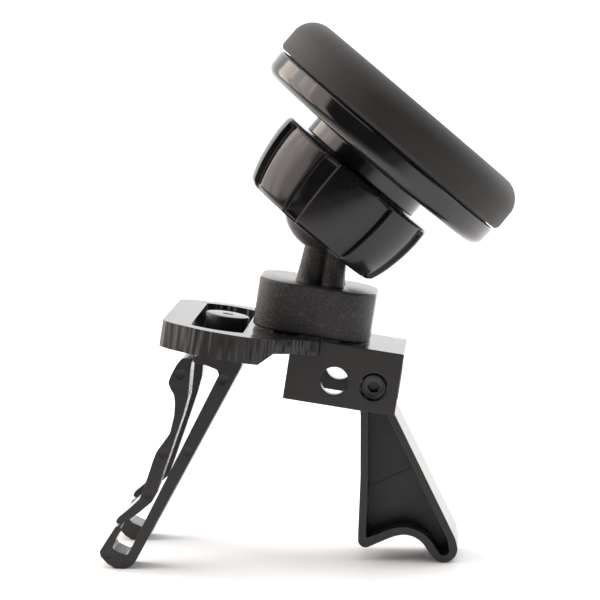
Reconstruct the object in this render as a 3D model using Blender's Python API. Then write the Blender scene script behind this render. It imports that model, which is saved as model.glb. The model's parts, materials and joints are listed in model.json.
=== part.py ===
"""Car phone mount: a round magnetic head on a locking ball joint, carried by a cranked arm
with a two-pronged vent clip at one end and a folding support leg at the other.

All sizes below are millimetres; meshes are written in metres. The mount stands on the tips
of its clip and the foot of its leg, with +Z up and +X towards the leg.
"""

import math

import bmesh
import bpy
from mathutils import Vector

MM = 0.001

# The arm: its top face slopes down towards the leg.
ARM_TILT_DEG = 8.7
ARM_ORIGIN = (0.0, 0.0, 43.5)
HOOD_LEFT = -25.1
HOOD_HALF_WIDTH = 20.8
HOOD_THICKNESS = 4.95
PLATE_THICKNESS = 2.65
PLATE_END = 4.5
CLEVIS_HALF_WIDTH = 10.8
CLEVIS_LEFT = -0.8
CLEVIS_RIGHT = 20.64
CLEVIS_DEPTH = 11.92
CLEVIS_WALL = 2.4
CLEVIS_ROOF = 3.4
TONGUE_END = 12.5
TONGUE_HALF_WIDTH = 6.0
TONGUE_THICKNESS = 1.3
WINDOW_CENTRE = -14.7
WINDOW_HALF_LENGTH = 5.0
WINDOW_HALF_WIDTH = 16.0
WINDOW_CROWN = 1.4
WINDOW_FLOOR = 4.1
GAP = 0.3

# Pivot of the leg and the spare hole beside it, in the arm's own frame.
PIVOT = (15.9, -7.02)
SPARE_HOLE = (8.35, -7.05)
PIVOT_HOLE_RADIUS = 2.65
SLEEVE_RADIUS = 2.45
PIVOT_SCREW_RADIUS = 1.5
HEX_SOCKET_RADIUS = 1.1

# The ball stud: rounded block, ribbed stem and ball, moulded in one.
BLOCK_CENTRE = 2.35
BLOCK_HALF_LENGTH = 11.3
BLOCK_HALF_WIDTH = 9.4
BLOCK_CORNER = 5.6
BLOCK_BOTTOM = 0.35
BLOCK_TOP = 9.8
STEM_ALONG = 2.5
STEM_LOBE = 6.3
STEM_VALLEY = 2.3
STEM_TAPER = 0.82
BALL_RADIUS = 8.6
BALL_HEIGHT = 24.15
BALL_ALONG = 2.0
BLOCK_SCREWS = (-4.0, 9.0)

# The head leans over the leg, and a little to the back.
HEAD_LEAN_DEG = 40.1
HEAD_BACK_DEG = 4.2
NUT_BOTTOM = -5.7
NUT_TOP = 8.6
NUT_LOBES = 8
NUT_VALLEY_DEPTH = 0.9
NUT_TURN_DEG = -85.2
NUT_PAD_HALF_DEG = 15.5
NUT_VALLEY_HALF_DEG = 5.3
THREAD_RADIUS = 12.0
NECK_RADIUS = 13.0
SOCKET_RADIUS = 8.9
SOCKET_TIP_DEG = 108.0
PAD_POCKET_RADIUS = 9.95
PAD_OUTER_RADIUS = 9.65
PAD_EDGE_DEG = 38.0
PUCK_RADIUS = 27.0
PUCK_BACK = 12.25
PUCK_FLOOR = 13.9
PUCK_SEAM = 17.35
PUCK_FRONT = 26.0
MAGNET_RADIUS = 6.0
MAGNET_RING = 14.5
MAGNET_FRONT = 23.6
MAGNET_BACK = 20.1
PUCK_SCREW_RING = 14.5

# The clip: two prongs with hooked ends, and a sprung lever beside each.
PRONG_OUTER = 16.5
PRONG_INNER = 9.5
HUB_ALONG = -14.2
HUB_HEAD_RADIUS = 4.2
HUB_NECK_RADIUS = 3.0
HUB_PROUD = 0.8
BRIDGE_TOP = -5.6
BRIDGE_BOTTOM = -7.9
LEVER_PIVOT = (-18.7, -7.0)

# The leg: a hollow wedge with a cupped foot, in a frame at its pivot.
LEG_HALF_WIDTH = 7.2
LEG_WEB_HALF = 0.7
KNUCKLE_RADIUS = 3.2
LEG_HOLLOW_TOP = -4.6

SPIN_STEPS = 36
VISIBLE_STEPS = 48
SMALL_STEPS = 16


def clearScene():
    for item in list(bpy.data.objects):
        bpy.data.objects.remove(item, do_unlink=True)


def makeMaterial(name, colour, roughness, metallic=0.0):
    material = bpy.data.materials.new(name)
    material.use_nodes = True
    shader = material.node_tree.nodes["Principled BSDF"]
    shader.inputs["Base Color"].default_value = (*colour, 1.0)
    shader.inputs["Roughness"].default_value = roughness
    shader.inputs["Metallic"].default_value = metallic
    return material


def makeFrame(name, parent, place, euler=(0.0, 0.0, 0.0), order="XYZ"):
    """An empty that carries a sub-assembly; place in mm, angles in degrees."""
    frame = bpy.data.objects.new(name, None)
    frame.empty_display_size = 0.01
    bpy.context.collection.objects.link(frame)
    frame.parent = parent
    frame.location = Vector(place) * MM
    frame.rotation_mode = order
    frame.rotation_euler = [math.radians(a) for a in euler]
    return frame


def addPiece(name, mesh, material, parent):
    bmesh.ops.remove_doubles(mesh, verts=mesh.verts, dist=1e-7)
    bmesh.ops.recalc_face_normals(mesh, faces=mesh.faces)
    data = bpy.data.meshes.new(name)
    mesh.to_mesh(data)
    mesh.free()
    data.materials.append(material)
    data.shade_smooth()
    data.set_sharp_from_angle(angle=math.radians(35))
    piece = bpy.data.objects.new(name, data)
    bpy.context.collection.objects.link(piece)
    piece.parent = parent
    return piece


def addTool(name, mesh, parent):
    """A cutter or a shape to be fused: left out of the finished part."""
    bmesh.ops.remove_doubles(mesh, verts=mesh.verts, dist=1e-7)
    bmesh.ops.recalc_face_normals(mesh, faces=mesh.faces)
    data = bpy.data.meshes.new(name)
    mesh.to_mesh(data)
    mesh.free()
    tool = bpy.data.objects.new(name, data)
    bpy.context.collection.objects.link(tool)
    tool.parent = parent
    tool.hide_render = True
    tool.display_type = "WIRE"
    return tool


def combine(piece, tool, operation):
    modifier = piece.modifiers.new(tool.name, "BOOLEAN")
    modifier.operation = operation
    modifier.solver = "EXACT"
    modifier.object = tool


def arc(centre, radius, start, end, count):
    """Points on a circle, angles in degrees from the first axis."""
    points = []
    for i in range(count + 1):
        angle = math.radians(start + (end - start) * i / count)
        points.append((centre[0] + radius * math.cos(angle), centre[1] + radius * math.sin(angle)))
    return points


def polar(radius, degrees):
    """A point of a turned profile at this angle from the turning axis."""
    angle = math.radians(degrees)
    return (radius * math.sin(angle), radius * math.cos(angle))


def sphereProfile(radius, start, end, count):
    return [polar(radius, start + (end - start) * i / count) for i in range(count + 1)]


def turned(profile, steps=SPIN_STEPS):
    """Turn a closed or axis-to-axis profile of (radius, height) about Z."""
    mesh = bmesh.new()
    verts = [mesh.verts.new((r * MM, 0.0, z * MM)) for r, z in profile]
    closed = profile[0][0] > 0.0
    pairs = list(zip(verts, verts[1:]))
    if closed:
        pairs.append((verts[-1], verts[0]))
    edges = [mesh.edges.new(pair) for pair in pairs]
    bmesh.ops.spin(mesh, geom=verts + edges, cent=(0, 0, 0), axis=(0, 0, 1), dvec=(0, 0, 0),
                   angle=2 * math.pi, steps=steps, use_duplicate=False)
    return mesh


def prismY(outline, low, high):
    """Extrude an outline of (x, z) points along Y."""
    mesh = bmesh.new()
    face = mesh.faces.new([mesh.verts.new((x * MM, low * MM, z * MM)) for x, z in outline])
    grown = bmesh.ops.extrude_face_region(mesh, geom=[face])
    moved = [v for v in grown["geom"] if isinstance(v, bmesh.types.BMVert)]
    bmesh.ops.translate(mesh, verts=moved, vec=(0, (high - low) * MM, 0))
    return mesh


def prismZ(outline, low, high):
    """Extrude an outline of (x, y) points along Z."""
    mesh = bmesh.new()
    face = mesh.faces.new([mesh.verts.new((x * MM, y * MM, low * MM)) for x, y in outline])
    grown = bmesh.ops.extrude_face_region(mesh, geom=[face])
    moved = [v for v in grown["geom"] if isinstance(v, bmesh.types.BMVert)]
    bmesh.ops.translate(mesh, verts=moved, vec=(0, 0, (high - low) * MM))
    return mesh


def boxOutline(x0, x1, y0, y1):
    return [(x0, y0), (x1, y0), (x1, y1), (x0, y1)]


def roundedBox(centre, halfLength, halfWidth, radius, count=6):
    points = []
    for sx, sy, start in ((1, 1, 0), (-1, 1, 90), (-1, -1, 180), (1, -1, 270)):
        corner = (centre + sx * (halfLength - radius), sy * (halfWidth - radius))
        points += arc(corner, radius, start, start + 90, count)
    return points


def placedTurned(profile, name, place, direction, parent, material=None, steps=SPIN_STEPS):
    """A turned piece or tool whose axis points along +Y or +Z of its parent."""
    mesh = turned(profile, steps)
    turn = {"+Y": (-90, 0, 0), "+Z": (0, 0, 0)}[direction]
    piece = addPiece(name, mesh, material, parent) if material else addTool(name, mesh, parent)
    piece.location = Vector(place) * MM
    piece.rotation_euler = [math.radians(a) for a in turn]
    return piece


def rod(radius, start, end):
    return [(0.0, start), (radius, start), (radius, end), (0.0, end)]


def hoodOutline():
    """Plan of the arm: a wide rounded hood that necks down to the clevis."""
    half = [(HOOD_LEFT, 0.0), (HOOD_LEFT, 14.2)]
    half += arc((HOOD_LEFT + 3.4, 14.6), 3.4, 174, 122, 5)
    half += [(-19.9, 19.2), (-16.6, 20.4), (-13.0, HOOD_HALF_WIDTH), (-9.6, HOOD_HALF_WIDTH)]
    half += [(-6.6, 20.2), (-4.0, 18.9), (-2.2, 17.2), (-0.6, 15.3), (1.2, 13.7), (3.0, 12.7)]
    half += [(PLATE_END, 12.2)]
    return half + [(x, -y) for x, y in reversed(half[1:])]


def windowOutline(crown):
    left = WINDOW_CENTRE - WINDOW_HALF_LENGTH
    right = WINDOW_CENTRE + WINDOW_HALF_LENGTH
    count = 8
    edge = []
    for i in range(count + 1):
        x = left + (right - left) * i / count
        bulge = 1 - ((x - WINDOW_CENTRE) / WINDOW_HALF_LENGTH) ** 2
        edge.append((x, WINDOW_HALF_WIDTH + crown * bulge))
    return edge + [(x, -y) for x, y in reversed(edge)]


def buildArm(arm, satin):
    plate = addPiece("arm_plate", prismZ(hoodOutline(), -HOOD_THICKNESS, 0.0), satin, arm)
    beyond = 30.0
    relief = [(-5.9, -HOOD_THICKNESS - 1), (-5.9, -HOOD_THICKNESS), (-3.4, -PLATE_THICKNESS),
              (beyond, -PLATE_THICKNESS), (beyond, -HOOD_THICKNESS - 1)]
    combine(plate, addTool("plate_relief", prismY(relief, -beyond, beyond), arm), "DIFFERENCE")
    tongue = boxOutline(PLATE_END - 2, TONGUE_END, -TONGUE_HALF_WIDTH, TONGUE_HALF_WIDTH)
    combine(plate, addTool("plate_tongue", prismZ(tongue, -TONGUE_THICKNESS, 0.0), arm), "UNION")
    window = prismZ(windowOutline(WINDOW_CROWN), -WINDOW_FLOOR, 1.0)
    combine(plate, addTool("window_pocket", window, arm), "DIFFERENCE")
    bore = rod(HUB_NECK_RADIUS + GAP, -HOOD_THICKNESS - 1, 0.0)
    combine(plate, placedTurned(bore, "hub_bore", (HUB_ALONG, 0, 0), "+Z", arm, steps=32), "DIFFERENCE")
    for i, along in enumerate(BLOCK_SCREWS):
        hole = [(0.0, -HOOD_THICKNESS - 1), (2.8, -HOOD_THICKNESS - 1), (2.8, -PLATE_THICKNESS),
                (1.5, -PLATE_THICKNESS), (1.5, 1.0), (0.0, 1.0)]
        tool = placedTurned(hole, f"plate_screw_hole_{i + 1}", (along, 0, 0), "+Z", arm, steps=SMALL_STEPS)
        combine(plate, tool, "DIFFERENCE")
    return plate


def buildClevis(arm, satin):
    """The block that holds the leg: two walls, a closed left end and a roof on the right."""
    outline = [(CLEVIS_LEFT, -CLEVIS_DEPTH), (CLEVIS_RIGHT, -CLEVIS_DEPTH), (CLEVIS_RIGHT, 0.0),
               (PLATE_END + GAP, 0.0), (PLATE_END + GAP, -PLATE_THICKNESS - GAP),
               (CLEVIS_LEFT, -PLATE_THICKNESS - GAP)]
    block = addPiece("clevis_block", prismY(outline, -CLEVIS_HALF_WIDTH, CLEVIS_HALF_WIDTH), satin, arm)
    inner = CLEVIS_HALF_WIDTH - CLEVIS_WALL
    end = CLEVIS_LEFT + 2.2
    slot = boxOutline(end, CLEVIS_RIGHT + 1, -CLEVIS_DEPTH - 1, -CLEVIS_ROOF)
    combine(block, addTool("clevis_slot", prismY(slot, -inner, inner), arm), "DIFFERENCE")
    pocket = boxOutline(PLATE_END - 1, TONGUE_END + GAP, -TONGUE_HALF_WIDTH - GAP, TONGUE_HALF_WIDTH + GAP)
    combine(block, addTool("tongue_pocket", prismZ(pocket, -TONGUE_THICKNESS - GAP, 1.0), arm), "DIFFERENCE")
    for name, (x, z) in (("pivot_hole", PIVOT), ("spare_hole", SPARE_HOLE)):
        hole = rod(PIVOT_HOLE_RADIUS, -CLEVIS_HALF_WIDTH - 1, CLEVIS_HALF_WIDTH + 1)
        combine(block, placedTurned(hole, name, (x, 0, z), "+Y", arm, steps=32), "DIFFERENCE")
    screw = rod(1.5, -CLEVIS_DEPTH, 1.0)
    tool = placedTurned(screw, "clevis_screw_hole", (BLOCK_SCREWS[1], 0, 0), "+Z", arm, steps=SMALL_STEPS)
    combine(block, tool, "DIFFERENCE")
    return block


def buildBlockScrews(arm, steel):
    """Two screws, driven up through the arm and the clevis roof into the ball stud's block."""
    heads = (-PLATE_THICKNESS - GAP, -CLEVIS_ROOF - GAP)
    for i, along in enumerate(BLOCK_SCREWS):
        top = heads[i]
        profile = [(0.0, top - 1.5), (2.3, top - 1.5), (2.5, top - 1.2), (2.5, top), (1.2, top),
                   (1.2, 5.4), (0.0, 6.0)]
        placedTurned(profile, f"block_screw_{i + 1}", (along, 0, 0), "+Z", arm, steel, steps=SMALL_STEPS)


def stemOutline(scale, count=32):
    """Four rounded lobes on the diagonals, with valleys facing the front and the sides."""
    points = []
    for i in range(count):
        angle = 2 * math.pi * i / count
        valley = ((1 + math.cos(4 * angle)) / 2) ** 0.8
        radius = (STEM_LOBE - STEM_VALLEY * valley) * scale
        points.append((radius * math.cos(angle), radius * math.sin(angle)))
    return points


def stemMesh():
    mesh = bmesh.new()
    levels = ((BLOCK_TOP - 2.0, 1.03), (BLOCK_TOP + 0.3, 1.03), (BALL_HEIGHT - 5.0, STEM_TAPER))
    rings = []
    for height, scale in levels:
        ring = [mesh.verts.new(((STEM_ALONG + x) * MM, y * MM, height * MM)) for x, y in stemOutline(scale)]
        rings.append(ring)
    for low, high in zip(rings, rings[1:]):
        for i in range(len(low)):
            j = (i + 1) % len(low)
            mesh.faces.new((low[i], low[j], high[j], high[i]))
    mesh.faces.new(rings[0])
    mesh.faces.new(rings[-1])
    return mesh


def buildBallStud(arm, textured):
    outline = roundedBox(BLOCK_CENTRE, BLOCK_HALF_LENGTH, BLOCK_HALF_WIDTH, BLOCK_CORNER)
    mesh = prismZ(outline, BLOCK_BOTTOM, BLOCK_TOP)
    rim = [e for e in mesh.edges if all(v.co.z > (BLOCK_TOP - 0.1) * MM for v in e.verts)]
    bmesh.ops.bevel(mesh, geom=rim, offset=0.7 * MM, segments=2, profile=0.6, affect="EDGES")
    stud = addPiece("ball_stud", mesh, textured, arm)
    combine(stud, addTool("stud_stem", stemMesh(), arm), "UNION")
    ball = sphereProfile(BALL_RADIUS, 180, 0, 14)
    ball[0] = (0.0, -BALL_RADIUS)
    ball[-1] = (0.0, BALL_RADIUS)
    place = (BALL_ALONG, 0, BALL_HEIGHT)
    combine(stud, placedTurned(ball, "stud_ball", place, "+Z", arm, steps=SPIN_STEPS), "UNION")
    for i, along in enumerate(BLOCK_SCREWS):
        hole = rod(1.5, BLOCK_BOTTOM - 1, 6.5)
        tool = placedTurned(hole, f"stud_screw_hole_{i + 1}", (along, 0, 0), "+Z", arm, steps=SMALL_STEPS)
        combine(stud, tool, "DIFFERENCE")
    return stud


def buildPivot(arm, steel, brass):
    """A socket screw from the front into a sleeve nut from the back; the leg turns on the sleeve."""
    face = CLEVIS_HALF_WIDTH
    split = face - CLEVIS_WALL - 0.1
    screw = [(0.0, -face + 2.0), (HEX_SOCKET_RADIUS, -face + 2.0), (HEX_SOCKET_RADIUS, -face),
             (SLEEVE_RADIUS - 0.3, -face), (SLEEVE_RADIUS, -face + 0.35), (SLEEVE_RADIUS, -split),
             (PIVOT_SCREW_RADIUS, -split), (PIVOT_SCREW_RADIUS, face - 4.0), (0.0, face - 3.5)]
    placedTurned(screw, "pivot_screw", (PIVOT[0], 0, PIVOT[1]), "+Y", arm, steel, steps=SMALL_STEPS)
    bore = PIVOT_SCREW_RADIUS + GAP
    sleeve = [(0.0, face - 2.8), (bore, face - 3.2), (bore, -split + GAP), (SLEEVE_RADIUS, -split + GAP),
              (SLEEVE_RADIUS, face - 0.3), (SLEEVE_RADIUS - 0.3, face), (0.0, face)]
    placedTurned(sleeve, "pivot_sleeve", (PIVOT[0], 0, PIVOT[1]), "+Y", arm, brass, steps=32)


def buildFrictionWashers(arm, nylon):
    inner = CLEVIS_HALF_WIDTH - CLEVIS_WALL
    for name, sign in (("near", -1), ("far", 1)):
        low = sorted((sign * (LEG_HALF_WIDTH + GAP), sign * (inner - GAP)))
        bore = SLEEVE_RADIUS + GAP
        ring = [(bore, low[0]), (3.1, low[0]), (3.1, low[1]), (bore, low[1])]
        placedTurned(ring, f"friction_washer_{name}", (PIVOT[0], 0, PIVOT[1]), "+Y", arm, nylon, steps=SMALL_STEPS)


def legOutline():
    """Side view of the leg about its pivot: knuckle, straight walls and a cupped foot."""
    points = arc((0, 0), KNUCKLE_RADIUS, -35, 180, 14)
    points += [(-2.9, -3.0), (-2.62, -6.0), (-2.62, -18.0), (-3.05, -29.6)]
    points += arc((-1.6, -30.2), 1.45, 190, 285, 5)
    points += [(1.6, -30.35), (3.9, -29.35)]
    points += arc((5.6, -34.2), 5.13, 92, 38, 6)
    points += [(10.7, -32.6)]
    points += arc((13.35, -31.7), 2.65, 205, 366, 9)
    points += [(15.53, -29.6), (3.98, -5.92)]
    return points


def legHollow():
    """The recess inside the walls, below the knuckle."""
    floor = [(-1.17, LEG_HOLLOW_TOP), (-1.17, -18.0), (-1.55, -29.7)]
    floor += [(0.9, -28.95), (3.35, -28.0)]
    floor += arc((5.6, -34.2), 6.6, 95, 36, 7)
    floor += [(12.25, -32.4)]
    floor += arc((13.35, -32.0), 1.05, 200, 345, 5)
    floor += [(14.1, -29.9), (1.74, LEG_HOLLOW_TOP)]
    return floor


def buildLeg(pivot, moulded):
    leg = addPiece("support_leg", prismY(legOutline(), -LEG_HALF_WIDTH, LEG_HALF_WIDTH), moulded, pivot)
    for name, low, high in (("leg_hollow_near", -LEG_HALF_WIDTH - 1, -LEG_WEB_HALF),
                            ("leg_hollow_far", LEG_WEB_HALF, LEG_HALF_WIDTH + 1)):
        combine(leg, addTool(name, prismY(legHollow(), low, high), pivot), "DIFFERENCE")
    bore = rod(SLEEVE_RADIUS + GAP, -LEG_HALF_WIDTH - 1, LEG_HALF_WIDTH + 1)
    combine(leg, placedTurned(bore, "leg_bore", (0, 0, 0), "+Y", pivot, steps=32), "DIFFERENCE")
    return leg


def prongOutline():
    """Side view of one prong: web under the hood, slanting bar and a hook that turns back up."""
    return [(-18.1, BRIDGE_TOP), (-8.9, BRIDGE_TOP), (-9.1, -6.4), (-23.3, -46.2), (-24.2, -47.6),
            (-25.6, -48.2), (-27.1, -48.36), (-28.6, -47.7), (-30.1, -46.5), (-30.4, -45.6),
            (-28.15, -40.45), (-27.6, -40.15), (-26.95, -40.45), (-28.1, -44.3), (-27.7, -44.85),
            (-25.5, -45.45), (-24.95, -45.2), (-13.0, -8.5), (-13.5, -7.6), (-15.6, -7.1), (-18.1, -6.95)]


def leverOutline():
    """Side view of one spring lever: thick rounded root, waist, elbow and a tip on the hook."""
    return [(-18.4, -6.4), (-19.4, -6.2), (-20.4, -6.6), (-21.2, -8.0), (-21.9, -10.0), (-22.25, -11.5),
            (-21.6, -12.6), (-20.8, -13.6), (-20.4, -15.1), (-20.2, -17.5), (-20.5, -21.0),
            (-21.5, -23.0), (-22.5, -24.9), (-22.9, -26.7), (-23.85, -32.3), (-24.4, -34.4),
            (-26.2, -36.7), (-27.9, -38.6), (-28.2, -39.4), (-27.8, -39.8), (-26.9, -39.6),
            (-25.8, -38.7), (-24.0, -36.9), (-22.0, -34.6), (-21.65, -33.8), (-20.95, -30.3),
            (-19.95, -25.0), (-18.5, -17.0), (-18.1, -13.6), (-18.4, -8.4)]


def buildClip(clip, nylon, steel):
    near = (-PRONG_OUTER, -PRONG_INNER)
    far = (PRONG_INNER, PRONG_OUTER)
    shift = Vector((-HUB_ALONG * MM, 0, 0))
    mesh = prismY(prongOutline(), *near)
    bmesh.ops.translate(mesh, verts=mesh.verts, vec=shift)
    frame = addPiece("clip_frame", mesh, nylon, clip)
    farMesh = prismY(prongOutline(), *far)
    bmesh.ops.translate(farMesh, verts=farMesh.verts, vec=shift)
    combine(frame, addTool("far_prong", farMesh, clip), "UNION")
    bridge = boxOutline(-18.1 - HUB_ALONG, -10.2 - HUB_ALONG, -PRONG_INNER - 1, PRONG_INNER + 1)
    combine(frame, addTool("clip_bridge", prismZ(bridge, BRIDGE_BOTTOM, BRIDGE_TOP), clip), "UNION")
    hole = rod(1.3, BRIDGE_BOTTOM - 1, BRIDGE_TOP + 1)
    combine(frame, placedTurned(hole, "hub_screw_hole", (0, 0, 0), "+Z", clip, steps=SMALL_STEPS), "DIFFERENCE")
    neckEnd = -WINDOW_FLOOR + GAP
    hub = [(0.0, HUB_PROUD - 1.7), (1.3, HUB_PROUD - 2.0), (1.3, BRIDGE_TOP + GAP),
           (HUB_NECK_RADIUS, BRIDGE_TOP + GAP), (HUB_NECK_RADIUS, neckEnd), (HUB_HEAD_RADIUS, neckEnd),
           (HUB_HEAD_RADIUS, HUB_PROUD - 0.3), (HUB_HEAD_RADIUS - 0.3, HUB_PROUD), (0.0, HUB_PROUD)]
    placedTurned(hub, "clip_hub", (0, 0, 0), "+Z", clip, nylon, steps=SPIN_STEPS)
    head = BRIDGE_BOTTOM - GAP
    screw = [(0.0, head - 1.2), (1.9, head - 1.2), (2.2, head - 0.9), (2.2, head), (1.0, head),
             (1.0, HUB_PROUD - 2.6), (0.0, HUB_PROUD - 2.3)]
    placedTurned(screw, "hub_screw", (0, 0, 0), "+Z", clip, steel, steps=SMALL_STEPS)
    return frame


def buildLever(name, flex, low, high, nylon):
    mesh = prismY(leverOutline(), low, high)
    bmesh.ops.translate(mesh, verts=mesh.verts, vec=(-LEVER_PIVOT[0] * MM, 0, -LEVER_PIVOT[1] * MM))
    return addPiece(name, mesh, nylon, flex)


def nutAngles():
    """One lobe is a wide raised pad and a narrow valley."""
    lobe = 360.0 / NUT_LOBES
    angles = []
    pad = [(NUT_PAD_HALF_DEG * share, 0.0) for share in (-1.0, -0.5, 0.0, 0.5, 1.0)]
    valley = [(lobe / 2 + NUT_VALLEY_HALF_DEG * share, 1.0) for share in (-1.0, 0.0, 1.0)]
    for i in range(NUT_LOBES):
        for offset, depth in pad + valley:
            angles.append((NUT_TURN_DEG + i * lobe + offset, depth))
    return angles


def buildNut(head, gloss):
    outer = [(14.4, NUT_BOTTOM, 0.6), (15.1, NUT_BOTTOM + 0.6, 1.0), (16.15, -2.0, 1.0), (16.85, 1.5, 1.0),
             (17.2, 5.0, 1.0), (17.2, 7.2, 0.9), (17.1, 7.9, 0.0), (16.7, NUT_TOP, 0.0)]
    inner = [(THREAD_RADIUS + GAP, NUT_TOP, 0.0), (THREAD_RADIUS + GAP, 2.3, 0.0), (10.6, -2.9, 0.0),
             (10.9, -4.2, 0.0), (12.4, NUT_BOTTOM, 0.0)]
    mesh = bmesh.new()
    columns = []
    for degrees, valley in nutAngles():
        angle = math.radians(degrees)
        column = []
        for radius, height, share in outer + inner:
            r = (radius - NUT_VALLEY_DEPTH * valley * share) * MM
            column.append(mesh.verts.new((r * math.cos(angle), r * math.sin(angle), height * MM)))
        columns.append(column)
    for a, b in zip(columns, columns[1:] + columns[:1]):
        for i in range(len(a)):
            j = (i + 1) % len(a)
            mesh.faces.new((a[i], b[i], b[j], a[j]))
    return addPiece("locking_nut", mesh, gloss, head)


def buildCollet(head, nylon, steel):
    """Threaded barrel with split fingers that grip the ball below its widest line."""
    tip = polar(SOCKET_RADIUS, SOCKET_TIP_DEG)
    profile = [(1.3, 12.9), (10.8, 12.9), (10.8, 8.75), (THREAD_RADIUS, 8.6), (THREAD_RADIUS, 2.6),
               (10.25, tip[1])]
    profile += sphereProfile(SOCKET_RADIUS, SOCKET_TIP_DEG, 62, 5)
    profile += sphereProfile(PAD_POCKET_RADIUS, 62, 40, 3)
    profile += [(6.3, 7.6), (6.3, 11.2), (1.3, 11.2)]
    collet = placedTurned(profile, "socket_collet", (0, 0, 0), "+Z", head, nylon)
    for i in range(3):
        slit = boxOutline(-THREAD_RADIUS - 1, THREAD_RADIUS + 1, -0.6, 0.6)
        tool = addTool(f"finger_slit_{i + 1}", prismZ(slit, -5.0, 3.2), head)
        tool.rotation_euler.z = math.radians(30 + 60 * i)
        combine(collet, tool, "DIFFERENCE")
    screw = [(0.0, 16.1), (2.4, 16.1), (2.7, 15.8), (2.7, 14.7), (1.0, 14.7), (1.0, 11.6), (0.0, 11.4)]
    placedTurned(screw[::-1], "collet_screw", (0, 0, 0), "+Z", head, steel, steps=SMALL_STEPS)


def buildPuck(head, gloss, rubber, plastic, steel, magnet):
    base = [(11.1, 8.9), (NECK_RADIUS - 0.3, 8.9), (NECK_RADIUS, 9.2), (NECK_RADIUS, PUCK_BACK - 0.5),
            (13.5, PUCK_BACK), (23.9, PUCK_BACK)]
    base += arc((23.9, PUCK_BACK + 2.3), 2.3, -60, 0, 4)
    base += [(26.35, PUCK_SEAM - 0.5), (26.15, PUCK_SEAM - 0.15), (24.9, PUCK_SEAM - 0.15), (24.9, PUCK_FLOOR),
             (13.3, PUCK_FLOOR), (13.3, 14.4), (1.4, 14.4), (1.4, 13.2), (11.1, 13.2)]
    placedTurned(base, "puck_base", (0, 0, 0), "+Z", head, gloss, steps=VISIBLE_STEPS)
    buildCap(head, rubber)
    yoke = [(3.2, 14.8), (22.5, 14.8), (22.5, 16.0), (3.2, 16.0)]
    placedTurned(yoke, "yoke_plate", (0, 0, 0), "+Z", head, steel)
    tray = [(3.6, 16.3), (24.5, 16.3), (24.5, 22.2), (23.2, 23.9), (3.6, 23.9)]
    holder = placedTurned(tray, "magnet_tray", (0, 0, 0), "+Z", head, plastic)
    fixScrews(head, holder, steel)
    for i in range(4):
        angle = math.radians(45 + 90 * i)
        place = (MAGNET_RING * math.cos(angle), MAGNET_RING * math.sin(angle), 0)
        pocket = rod(MAGNET_RADIUS + GAP, MAGNET_BACK - GAP, 25.0)
        tool = placedTurned(pocket, f"magnet_pocket_{i + 1}", place, "+Z", head, steps=SMALL_STEPS)
        combine(holder, tool, "DIFFERENCE")
        disc = rod(MAGNET_RADIUS, MAGNET_BACK, MAGNET_FRONT)
        placedTurned(disc, f"magnet_{i + 1}", place, "+Z", head, magnet, steps=SMALL_STEPS)


def fixScrews(head, holder, steel):
    """Two screws hold the tray and the yoke plate down on the base."""
    yoke = bpy.data.objects["yoke_plate"]
    base = bpy.data.objects["puck_base"]
    for i, side in enumerate((-1, 1)):
        place = (side * PUCK_SCREW_RING, 0, 0)
        sink = [(0.0, 12.9), (1.4, 12.9), (1.4, 19.7), (2.8, 19.7), (2.8, 25.0), (0.0, 25.0)]
        for piece in (holder, yoke, base):
            tool = placedTurned(sink, f"screw_sink_{piece.name}_{i + 1}", place, "+Z", head, steps=SMALL_STEPS)
            combine(piece, tool, "DIFFERENCE")
        screw = [(0.0, 13.2), (1.1, 13.5), (1.1, 20.0), (2.4, 20.0), (2.4, 21.2), (1.9, 21.7), (0.0, 21.7)]
        placedTurned(screw, f"puck_screw_{i + 1}", place, "+Z", head, steel, steps=SMALL_STEPS)


def buildCap(head, rubber):
    cap = [(0.0, 24.2), (23.3, 24.2), (25.2, 22.4), (25.2, PUCK_SEAM + 0.15), (26.6, PUCK_SEAM + 0.15),
           (PUCK_RADIUS, PUCK_SEAM + 0.8), (PUCK_RADIUS - 0.05, 20.9)]
    cap += arc((PUCK_RADIUS - 4.9, PUCK_FRONT - 4.8), 4.8, 12, 90, 6)
    cap += [(0.0, PUCK_FRONT)]
    placedTurned(cap, "rubber_face_cap", (0, 0, 0), "+Z", head, rubber, steps=VISIBLE_STEPS)


def buildBallPad(head, nylon):
    """A dished pad between the ball and the roof of the socket."""
    outer = sphereProfile(PAD_OUTER_RADIUS, PAD_EDGE_DEG, 0, 4)
    inner = sphereProfile(SOCKET_RADIUS, 0, PAD_EDGE_DEG, 4)
    outer[-1] = (0.0, PAD_OUTER_RADIUS)
    inner[0] = (0.0, SOCKET_RADIUS)
    placedTurned(inner + outer, "ball_pad", (0, 0, 0), "+Z", head, nylon, steps=24)


def buildPreloadWasher(head, steel):
    ring = [(2.2, 10.2), (5.9, 10.2), (5.9, 10.85), (2.2, 10.85)]
    placedTurned(ring, "preload_washer", (0, 0, 0), "+Z", head, steel, steps=SMALL_STEPS)


def standOnFloor(root):
    """Move the whole assembly so that its box stands centred on the origin."""
    bpy.context.view_layer.update()
    graph = bpy.context.evaluated_depsgraph_get()
    corners = []
    for item in bpy.context.scene.objects:
        if item.type != "MESH" or item.hide_render:
            continue
        shape = item.evaluated_get(graph)
        corners += [shape.matrix_world @ v.co for v in shape.data.vertices]
    low = [min(c[i] for c in corners) for i in range(3)]
    high = [max(c[i] for c in corners) for i in range(3)]
    root.location = (-(low[0] + high[0]) / 2, -(low[1] + high[1]) / 2, -low[2])
    bpy.context.view_layer.update()


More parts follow.
